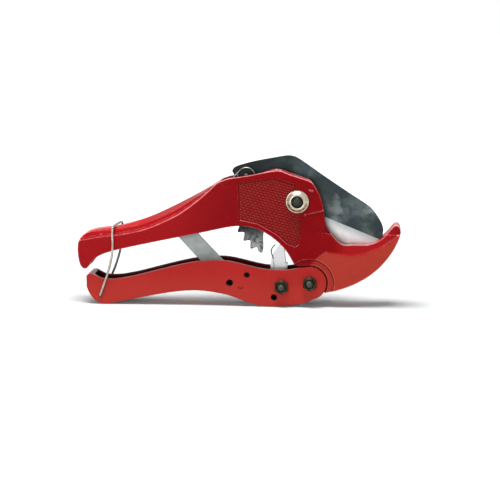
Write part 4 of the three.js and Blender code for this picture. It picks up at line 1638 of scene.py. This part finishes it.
@dataclass
class Blade:
    """The blade with its ratchet sector."""

    half: float = 1.2
    edge_half: float = 0.2
    bevel_width: float = 11.0
    tip_radius: float = 43.2
    tooth_depth: float = 3.1
    teeth: int = 8
    pitch: float = 8.9
    first: float = 34.2
    worn: float = 2.0

    def sector(self) -> Run:
        """Draws the ratchet teeth, of which the lowest is worn.

        Each place of a tooth has its share of the pitch and of the depth.

        Returns:
            The places from the lowest tooth to the highest.
        """
        tooth = [
            (-0.36, 1.05), (-0.28, 0.98), (-0.20, 0.80), (-0.12, 0.48), (-0.04, 0.10), (0.02, 0.0),
            (0.09, 0.02), (0.16, 0.12), (0.30, 0.42), (0.42, 0.68), (0.52, 0.88), (0.58, 1.0),
        ]
        places: Run = []
        for i in range(self.teeth):
            start = self.first + self.pitch * i
            worn = self.worn if i == 0 else 0.0
            for turn, drop in tooth:
                if i == 0 and turn < 0.0:
                    continue
                radius = self.tip_radius - max(worn, self.tooth_depth * drop)
                places.append(polar(BLADE_PIVOT, radius, STRAIGHT_DOWN - start - self.pitch * turn))
        return places

    def outline(self) -> Outline:
        """Draws the blade from its side.

        Returns:
            The outline in runs: the back, the cutting edge, the heel and the ratchet teeth.
        """
        back = run(
            (-0.014, 0.404), (-0.0195, 0.412), (-0.0205, 0.418), (-0.015, 0.426), (0.001, 0.433),
            (0.020, 0.438), (0.040, 0.444), (0.079, 0.452), (0.118, 0.459), (0.138, 0.463),
            (0.153, 0.4645), (0.167, 0.463), (0.181, 0.458), (0.216, 0.434), (0.257, 0.405),
            (0.296, 0.379), (0.335, 0.353), (0.374, 0.328), (0.394, 0.316), (0.410, 0.302),
            (0.422, 0.286), (0.434, 0.267), (0.441, 0.254), (0.444, 0.238),
        )
        edge = run((0.441, 0.213), (0.430, 0.182), (0.415, 0.163))
        heel = run(
            (0.245, 0.228), (0.216, 0.239), (0.167, 0.247), (0.108, 0.254), (0.082, 0.246),
            (0.075, 0.224), (0.0755, 0.200), (0.0755, 0.176), (0.0750, 0.168), (0.0725, 0.163),
        )
        return [(back, 3), (edge, 2), (heel, 2), (self.sector(), 0)]

    def wedge(self, side: Side) -> Piece:
        """Makes the wedge that grinds one face of the blade down to the cutting edge.

        Args:
            side: The face that is ground.

        Returns:
            The wedge to take away.
        """
        start = Vector((BEVEL_START[0], 0.0, BEVEL_START[1]))
        along = Vector((BEVEL_END[0], 0.0, BEVEL_END[1])) - start
        toward = Vector((along.z, 0.0, -along.x)).normalized()
        fall = (self.half - self.edge_half) / self.bevel_width
        reach, outer = 2 * self.bevel_width, 3 * self.half
        section = [(0.0, self.half), (reach, self.half - reach * fall), (reach, outer), (0.0, outer)]
        corner = start - along / 4
        bm = bmesh.new()
        verts = [bm.verts.new(corner + toward * x + Vector((0.0, side.value * y, 0.0))) for x, y in section]
        push_out(bm, verts, along * 2)
        return new_object("wedge", bm)

    def build(self, finishes: Finishes) -> None:
        """Builds the blade and hands it over.

        Args:
            finishes: The tool's finishes.
        """
        body = slab("blade_plate", self.outline(), -self.half, self.half)
        drill(body, BLADE_PIVOT, BLADE_BORE)
        drill(body, STUD, STUD_PIN + GAP)
        for side in Side:
            combine(body, self.wedge(side), Cut.TAKE)
        round_edges(body, 0.14, 50.0)
        hand_over(body, "blade", finishes.blade_steel, ("blade",))


@dataclass(frozen=True)
class Fastener:
    """A bolt with its head on the far side and its nut on the near side."""

    centre: Point
    radius: float
    across: float
    head: float
    nut: float
    proud: float = 0.9
    tip_share: float = 0.86
    sink: float = 0.9
    thread_pitch: float = 0.8
    thread_depth: float = 0.36

    def hexagon(self, name: str, low: float, high: float) -> Piece:
        """Makes a hexagonal prism with turned corners.

        Args:
            name: Name of the prism.
            low: Y of its nearer face.
            high: Y of its farther face.

        Returns:
            The prism, about the origin.
        """
        corner = self.across / math.sqrt(3.0)
        chamfer = (corner - self.across / 2) * 1.5
        drop = chamfer * 0.7
        body = slab(name, [(arc(ORIGIN, corner, 90.0, 390.0, 5), 0)], low, high)
        profile = [(0.0, low), (corner - chamfer, low), (corner + 0.01, low + drop)]
        profile += [(corner + 0.01, high - drop), (corner - chamfer, high), (0.0, high)]
        return combine(body, lathe("turning", ORIGIN, profile, 96), Cut.KEEP)

    def thread(self, low: float, high: float) -> list[Point]:
        """Draws the profile of a threaded stretch from its end inwards.

        Args:
            low: Y of its nearer end.
            high: Y that it doesn't pass.

        Returns:
            Three places for each turn.
        """
        profile: list[Point] = []
        for i in range(int((high - low) / self.thread_pitch)):
            y = low + self.thread_pitch * i
            root = self.radius - self.thread_depth
            profile += [(self.radius, y + 0.1), (root, y + 0.45), (self.radius, y + 0.75)]
        return profile

    def bolt(self, name: str) -> Piece:
        """Makes the bolt with a threaded, turned-down near end.

        Args:
            name: Name of the bolt.

        Returns:
            The bolt in its place.
        """
        near = -NUT_FACE - self.nut - self.proud
        far = NUT_FACE + self.head / 2
        thread = -NUT_FACE - self.nut + self.sink
        tip = self.radius * self.tip_share
        profile = [(0.0, near - 0.1), (tip - 0.7, near - 0.05), (tip - 0.2, near + 0.15), (tip, near + 0.5)]
        profile += [(tip, thread), *self.thread(thread, -NUT_FACE)]
        profile += [(self.radius, -NUT_FACE), (self.radius, far), (0.0, far)]
        shank = lathe(name, ORIGIN, profile, 64)
        head = self.hexagon("head", NUT_FACE, NUT_FACE + self.head)
        return self.put(combine(shank, head, Cut.ADD))

    def lock_nut(self, name: str) -> Piece:
        """Makes a hexagonal nut with a rolled collar on its outer face.

        Args:
            name: Name of the nut.

        Returns:
            The nut in its place.
        """
        low = -NUT_FACE - self.nut
        body = self.hexagon(name, low + 1.3, -NUT_FACE)
        outer = self.across / 2 - 0.28
        bore = self.radius + 0.25
        collar = [
            (bore + 0.1, low + 0.5), (bore + 0.5, low + 0.1), (bore + 0.8, low), (outer - 0.8, low + 0.1),
            (outer - 0.2, low + 0.55), (outer, low + 1.2), (outer, low + 2.2), (bore + 0.1, low + 2.2),
        ]
        combine(body, lathe("collar", ORIGIN, collar, 64), Cut.ADD)
        return self.put(combine(body, rod("hole", ORIGIN, bore, low - 2.0, 0.0), Cut.TAKE))

    def flange_nut(self, name: str, flange: float, thickness: float) -> Piece:
        """Makes a round nut on a dished flange, with a rolled lip round its mouth.

        Args:
            name: Name of the nut.
            flange: Radius of the flange.
            thickness: Thickness of its rim.

        Returns:
            The nut in its place.
        """
        low = -NUT_FACE - self.nut
        rim = -NUT_FACE - thickness
        bore = self.radius + 0.2
        mouth = bore + 0.5
        profile = [
            (bore, -NUT_FACE), (flange - 0.2, -NUT_FACE), (flange, -NUT_FACE - 0.2), (flange, rim + 0.4),
            (flange - 0.12, rim + 0.12), (flange - 0.4, rim), (flange - 0.8, rim - 0.1),
            (mouth + 1.0, low + 0.6), (mouth + 0.3, low + 0.12), (mouth, low),
            (mouth - 0.3, low + 0.08), (mouth - 0.6, low + 0.35), (mouth - 0.7, low + 1.2),
            (bore, low + 1.6),
        ]
        return self.put(lathe(name, ORIGIN, profile, 96))

    def put(self, piece: Piece) -> Piece:
        """Moves a piece that was drawn about the origin to the fastener's centre."""
        piece.data.transform(Matrix.Translation((self.centre[0], 0.0, self.centre[1])))
        return piece


@dataclass
class Works:
    """Bolts, nuts, washers, spacers and pins."""

    blade_bolt: Fastener = Fastener(
        BLADE_PIVOT, BLADE_SHANK, across=11.4, head=4.7, nut=3.4, proud=0.5, tip_share=0.72, sink=2.4
    )
    handle_bolt: Fastener = Fastener(HANDLE_PIVOT, BOLT_SHANK, across=8.2, head=3.4, nut=3.4)
    pawl_bolt: Fastener = Fastener(PAWL_PIVOT, BOLT_SHANK, across=8.2, head=3.4, nut=3.4)
    flange: float = 7.15
    flange_thickness: float = 1.3
    bush_half: float = 6.0
    sleeve_radius: float = 3.8
    pin_half: float = 8.5
    bore_share: float = 0.62
    bore_depth: float = 3.0

    def build_bolts(self, finishes: Finishes) -> None:
        """Builds the three bolts and their nuts.

        Args:
            finishes: The tool's finishes.
        """
        bolt = self.blade_bolt.bolt("blade_bolt")
        hand_over(bolt, "frame", finishes.blade_bolt, ("blade_pivot_bolt",))
        nut = self.blade_bolt.flange_nut("blade_nut", self.flange, self.flange_thickness)
        hand_over(nut, "frame", finishes.zinc_plate, ("blade_flange_nut",))
        for word, fastener in (("handle_pivot", self.handle_bolt), ("pawl", self.pawl_bolt)):
            bolt = fastener.bolt(f"{word}_screw")
            hand_over(bolt, "handle", finishes.pivot_bolt, (f"{word}_bolt",))
            nut = fastener.lock_nut(f"{word}_lock_nut")
            hand_over(nut, "handle", finishes.black_oxide, (f"{word}_nut",))

    def build_rings(self, finishes: Finishes) -> None:
        """Builds the bush, and the washers and spacers that lie on both sides.

        Args:
            finishes: The tool's finishes.
        """
        zinc, galvanised = finishes.zinc_plate, finishes.galvanised
        half = self.bush_half
        bush = ring("pivot_sleeve", HANDLE_PIVOT, BOLT_BORE, self.sleeve_radius, -half, half)
        hand_over(bush, "frame", finishes.spring_steel, ("handle_pivot_bush",))
        for side in Side:
            word = side.name.lower()
            washer = ring(f"thrust_washer_{word}", BLADE_PIVOT, BLADE_BORE, 6.7, *span(side, 1.5, 2.3))
            hand_over(washer, "blade", zinc, (f"blade_washer_{word}",))
            spacer = ring(
                f"pawl_sleeve_{word}", PAWL_PIVOT, BOLT_BORE, self.sleeve_radius, *span(side, 3.0, 6.7)
            )
            hand_over(spacer, "handle", galvanised, (f"pawl_spacer_{word}",))
            spacer = ring(f"strap_sleeve_{word}", STRAP_PIVOT, STRAP_BORE, 3.2, *span(side, 1.3, 6.7))
            hand_over(spacer, "handle", galvanised, (f"spreader_spacer_{word}",))

    def build_pins(self, finishes: Finishes) -> None:
        """Builds the three pins across the lower handle, with a blind bore in each end.

        Args:
            finishes: The tool's finishes.
        """
        pins = [
            ("stop_peg", STOP_PIN, STOP_PEG, "pawl_spring_pin", finishes.pin_black),
            ("strap_peg", STRAP_PIVOT, STRAP_PIN, "spreader_pin", finishes.pin_black),
            ("anchor_peg", SPRING_ANCHOR, ANCHOR_PIN, "spring_anchor_pin", finishes.anchor_black),
        ]
        half = self.pin_half
        for name, centre, radius, node, finish in pins:
            bore = radius * self.bore_share
            ends = [(0.0, half - self.bore_depth), (bore, half - self.bore_depth), (bore, half - 0.2)]
            ends += [(bore + 0.15, half), (radius - 0.3, half), (radius, half - 0.3)]
            profile = [(r, -y) for r, y in ends] + ends[::-1]
            hand_over(lathe(name, centre, profile), "handle", finish, (node,))

    def build(self, finishes: Finishes) -> None:
        """Builds all the works.

        Args:
            finishes: The tool's finishes.
        """
        self.build_bolts(finishes)
        self.build_rings(finishes)
        self.build_pins(finishes)


@dataclass
class Pawl:
    """The pawl: two cheeks astride the blade, a hub and a driving nose."""

    half: float = 2.7
    cheek: float = 1.1
    hub: float = 5.6
    nose_reach: float = 13.3
    nose_radius: float = 1.0
    nose_angle: float = 79.7

    def build(self, finishes: Finishes) -> None:
        """Builds the pawl and hands it over.

        Args:
            finishes: The tool's finishes.
        """
        top = run(
            (0.1015, 0.072), (0.0990, 0.100), (0.0990, 0.120), (0.1025, 0.1505), (0.1060, 0.1565),
            (0.1265, 0.1870), (0.134, 0.190), (0.1400, 0.183), (0.1420, 0.165), (0.1455, 0.128),
            (0.1530, 0.088),
        )
        hub = arc(PAWL_PIVOT, self.hub, 35.0, -215.0)
        nose = polar(PAWL_PIVOT, self.nose_reach, self.nose_angle)
        flank = polar(PAWL_PIVOT, self.nose_reach, self.nose_angle + 8.0)
        x, z = PAWL_PIVOT
        tongue = [(x - self.hub / 2, z), flank, *arc(nose, self.nose_radius, 150.0, 10.0, 12)]
        tongue.append((x + self.hub / 2, z))
        body = rod("pawl_piece", PAWL_PIVOT, self.hub, -self.half, self.half)
        combine(body, middle_slab("tongue", tongue, self.half - self.cheek / 2), Cut.ADD)
        for side in Side:
            cheek = slab("cheek", [(top, 0), (hub, 0)], *span(side, self.half - self.cheek, self.half))
            combine(body, cheek, Cut.ADD)
        drill(body, PAWL_PIVOT, BOLT_BORE)
        round_edges(body, 0.15, 40.0)
        hand_over(body, "pawl", finishes.pawl_steel, ("pawl",))


@dataclass
class Strap:
    """The flat spreader strap."""

    half: float = 1.0
    radius: float = 5.4
    reach: float = 52.0

    def build(self, finishes: Finishes) -> None:
        """Builds the strap and hands it over.

        Args:
            finishes: The tool's finishes.
        """
        end = polar(STRAP_PIVOT, self.reach, STRAP_TURN)
        outline = arc(end, self.radius, STRAP_TURN - 90.0, STRAP_TURN + 90.0)
        outline += arc(STRAP_PIVOT, self.radius, STRAP_TURN + 90.0, STRAP_TURN + 270.0)
        body = middle_slab("strap_plate", outline, self.half)
        drill(body, STRAP_PIVOT, STRAP_BORE)
        round_edges(body, 0.3, 40.0, 3)
        hand_over(body, "strap", finishes.galvanised, ("spreader_strap",))


@dataclass(frozen=True)
class Spring:
    """A torsion spring: a leg, its turns along -Y and a second leg."""

    name: str
    node: str
    body: str
    centre: Point
    wire: float
    radius: float
    turns: float
    start: float
    first_y: float
    steps: int = 12
    turn_gap: float = 0.45

    def coil(self) -> list[Vector]:
        """Winds the turns.

        Returns:
            The places along them.
        """
        places = []
        count = round(self.turns * self.steps)
        for i in range(count + 1):
            turned = self.turns * i / count
            x, z = polar(self.centre, self.radius, self.start + 360.0 * turned)
            places.append(Vector((x, self.first_y - (self.wire + self.turn_gap) * turned, z)))
        return places

    def build(self, before: list[Vector], after: list[Vector], material: Material) -> None:
        """Bends the wire and hands it over.

        Args:
            before: Offsets from the first place of the turns to the first leg.
            after: Offsets from the last place to the second leg.
            material: Its finish.
        """
        coil = self.coil()
        points = [coil[0] + step for step in before] + coil + [coil[-1] + step for step in after]
        made = wire(self.name, points, self.wire, 4)
        hand_over(made, self.body, material, (self.node,), WIRE_ANGLE)


@dataclass
class Wires:
    """The three springs, the stud of one of them and the wire latch."""

    bail_skew: float = 3.0
    roof_slope: float = 0.15
    leg_bend: float = 0.4

    def build_blade_spring(self, finishes: Finishes) -> None:
        """Builds the blade's return spring and its stud.

        Args:
            finishes: The tool's finishes.
        """
        spring = Spring(
            "return_coil", "blade_return_spring", "blade", STUD, wire=0.85, radius=5.4, turns=1.375,
            start=0.0, first_y=-2.025, steps=16,
        )
        before = [Vector((0, 0, -9.5)), Vector((0, 0, -4.8))]
        after = [Vector((-1.9, 0, -2.0)), Vector((-4.0, -0.2, -4.4)), Vector((-5.5, -0.4, -7.0))]
        spring.build(before, after, finishes.spring_steel)
        stud = rod("stud_shank", STUD, STUD_PIN, -4.4, 1.9, 0.2)
        combine(stud, rod("stud_head", STUD, 2.7, 1.5, 2.3, 0.15), Cut.ADD)
        hand_over(stud, "blade", finishes.stud_steel, ("blade_spring_stud",))

    def build_pawl_spring(self, finishes: Finishes) -> None:
        """Builds the pawl's spring with its hook over the cheek.

        Args:
            finishes: The tool's finishes.
        """
        spring = Spring(
            "pawl_coil", "pawl_spring", "pawl", PAWL_PIVOT, wire=0.7, radius=4.8, turns=2.0, start=180.0,
            first_y=-3.35,
        )
        first = spring.coil()[0]
        hook = run(
            (0.1130, 0.1900), (0.1045, 0.1800), (0.1012, 0.1715), (0.1020, 0.1625), (0.1065, 0.1500),
            (0.1085, 0.137), (0.1100, 0.110),
        )
        depths = (-3.1, -3.1, -3.0, -2.9, -2.7, -2.6, -2.8)
        before = [Vector((x, y, z)) - first for (x, z), y in zip(hook, depths)]
        after = [Vector((0, 0, -0.4)) * spring.radius, Vector((0, 0, -0.8)) * spring.radius]
        spring.build(before, after, finishes.hook_steel)

    def build_spreader_spring(self, finishes: Finishes) -> None:
        """Builds the spreader spring between the strap and its anchor pin.

        Args:
            finishes: The tool's finishes.
        """
        thickness, sleeve_wall = 1.1, 1.1
        radius = STRAP_PIN + GAP + sleeve_wall + GAP + thickness
        spring = Spring(
            "spreader_coil", "spreader_spring", "strap", STRAP_PIVOT, wire=thickness, radius=radius,
            turns=2.25, start=STRAP_TURN + 90.0, first_y=-1.85,
        )
        x, z = polar(ORIGIN, radius, STRAP_TURN)
        before = [Vector((x, 0, z)) * 3.4, Vector((x, 0, z)) * 1.7]
        last = spring.coil()[-1]
        rest = (2 * ANCHOR_PIN + thickness) / 2 + GAP
        under = Vector((SPRING_ANCHOR[0] + rest / 2, last.y, SPRING_ANCHOR[1] - rest)) - last
        spring.build(before, [under / 2, under], finishes.spring_steel)

    def bail_leg(self, side: Side) -> list[Vector]:
        """Bends one leg of the latch; the far one leans forwards, as the latch lies askew.

        Args:
            side: The side that it is on.

        Returns:
            The places from its end in the handle to the middle of the bar.
        """
        leg = run(
            (-0.4231, 0.0404), (-0.416, 0.0605), (-0.402, 0.100), (-0.394, 0.130), (-0.388, 0.160),
            (-0.386, 0.190), (-0.3865, 0.222),
        )
        bar_x, bar_z = at((-0.3855, 0.2425))
        x, z = BAIL_PIVOT
        half = SIDE + GAP + BAIL_WIRE / 2
        skew = self.bail_skew if side is Side.FAR else 0.0
        rise = skew * self.roof_slope
        height = leg[-1][1] - z
        places = [(x, 6.1, z), (x, half - 1.5, z), (x, half - self.leg_bend, z + 0.2)]
        places += [(px + skew * (pz - z) / height, half, pz) for px, pz in leg]
        places.append((bar_x + skew, half - self.leg_bend, bar_z - 0.75 + rise))
        places.append((bar_x + skew, half - 1.6, bar_z + rise))
        return [Vector((px, side.value * y, pz)) for px, y, pz in places]

    def build_bail(self, finishes: Finishes) -> None:
        """Builds the wire latch.

        Args:
            finishes: The tool's finishes.
        """
        points = self.bail_leg(Side.NEAR) + self.bail_leg(Side.FAR)[::-1]
        bail = wire("bail_wire", points, BAIL_WIRE)
        hand_over(bail, "bail", finishes.bail_steel, ("latch_bail",), WIRE_ANGLE)

    def build(self, finishes: Finishes) -> None:
        """Builds all the wires.

        Args:
            finishes: The tool's finishes.
        """
        self.build_blade_spring(finishes)
        self.build_pawl_spring(finishes)
        self.build_spreader_spring(finishes)
        self.build_bail(finishes)


# Studio


@dataclass
class Studio:
    """Camera, floor, lamps and white surroundings, in metres."""

    aim: tuple[float, float, float] = (0.007, 0.0, 0.0345)
    distance: float = 1.0
    azimuth: float = 5.0
    elevation: float = 10.0
    lens: float = 114.3
    floor_size: float = 4.0
    floor_grey: float = 0.71
    fill: float = 0.15

    def camera(self) -> None:
        """Sets the camera at the photograph's viewing angle."""
        turn, rise = math.radians(self.azimuth), math.radians(self.elevation)
        level = math.cos(rise)
        back = Vector((math.sin(turn) * level, -math.cos(turn) * level, math.sin(rise)))
        data = bpy.data.cameras.new("camera")
        data.lens = self.lens
        data.sensor_width = 36.0
        camera = bpy.data.objects.new("camera", data)
        camera.location = Vector(self.aim) + back * self.distance
        camera.rotation_euler = (-back).to_track_quat("-Z", "Y").to_euler()
        bpy.context.scene.collection.objects.link(camera)
        bpy.context.scene.camera = camera

    def floor(self) -> None:
        """Lays a pale floor that keeps the tool's shadow and shows white round it."""
        bm = bmesh.new()
        bmesh.ops.create_grid(bm, x_segments=1, y_segments=1, size=self.floor_size)
        floor = new_object("floor", bm)
        graph = Graph("floor")
        sockets = graph.shader.inputs
        sockets["Base Color"].default_value = (self.floor_grey, self.floor_grey, self.floor_grey, 1.0)
        sockets["Roughness"].default_value = 1.0
        sockets["Specular IOR Level"].default_value = 0.0
        away = graph.node("VectorMath", {0: graph.place}, operation="LENGTH").outputs["Value"]
        # Painted light: near the tool the glow seen by the camera is cyan, which greys the red bounce out
        # of its shadow
        shadow_tint_glow, white = (0.5, 1.0, 1.0, 1.0), (1.0, 1.0, 1.0, 1.0)
        graph.feed(sockets["Emission Color"], graph.mix(graph.ramp(away, 0.1, 0.25), shadow_tint_glow, white))
        glow = graph.product(direct_rays(graph.tree), graph.ramp(away, 0.08, 0.45, 0.06, 1.0))
        graph.feed(sockets["Emission Strength"], glow)
        floor.data.materials.append(graph.material)

    def lamp(self, name: str, place: tuple, size: tuple, power: float) -> None:
        """Hangs a soft rectangular lamp that faces the tool.

        Args:
            name: Name of the lamp.
            place: Where it hangs, in metres.
            size: Its width and height in metres.
            power: Its power in watts.
        """
        data = bpy.data.lights.new(name, "AREA")
        data.shape = "RECTANGLE"
        data.size, data.size_y = size
        data.energy = power
        lamp = bpy.data.objects.new(name, data)
        lamp.location = place
        lamp.rotation_euler = (Vector(place) - Vector(self.aim)).to_track_quat("Z", "Y").to_euler()
        bpy.context.scene.collection.objects.link(lamp)

    def world(self) -> None:
        """Surrounds the scene with even light, seen as white."""
        world = bpy.data.worlds.new("surroundings")
        bpy.context.scene.world = world
        world.use_nodes = True
        tree = world.node_tree
        tree.nodes.clear()
        background = tree.nodes.new("ShaderNodeBackground")
        background.inputs["Color"].default_value = (1.0, 1.0, 1.0, 1.0)
        level = tree.nodes.new("ShaderNodeMapRange")
        level.inputs["To Min"].default_value = self.fill
        level.inputs["To Max"].default_value = 1.0
        output = tree.nodes.new("ShaderNodeOutputWorld")
        tree.links.new(direct_rays(tree), level.inputs["Value"])
        tree.links.new(level.outputs[0], background.inputs["Strength"])
        tree.links.new(background.outputs[0], output.inputs[0])

    def build(self) -> None:
        """Sets up the whole studio."""
        bpy.context.scene.view_settings.view_transform = "Standard"
        self.camera()
        self.floor()
        self.lamp("key", (-0.05, -0.16, 0.84), (0.55, 0.28), 9.5)
        self.lamp("front", (-0.35, -0.95, 0.28), (0.6, 0.4), 3.8)
        self.lamp("back_strip", (-0.2, 0.25, 0.78), (0.9, 0.02), 0.8)
        self.world()


def main() -> None:
    """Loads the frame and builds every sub-assembly."""
    logging.basicConfig(level=logging.INFO, format="%(name)s: %(message)s")
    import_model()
    Studio().build()
    finishes = Finishes()
    for part in (FrameCasting(), LowerHandle(), Blade(), Works(), Pawl(), Strap(), Wires()):
        part.build(finishes)


if __name__ == "__main__":
    main()
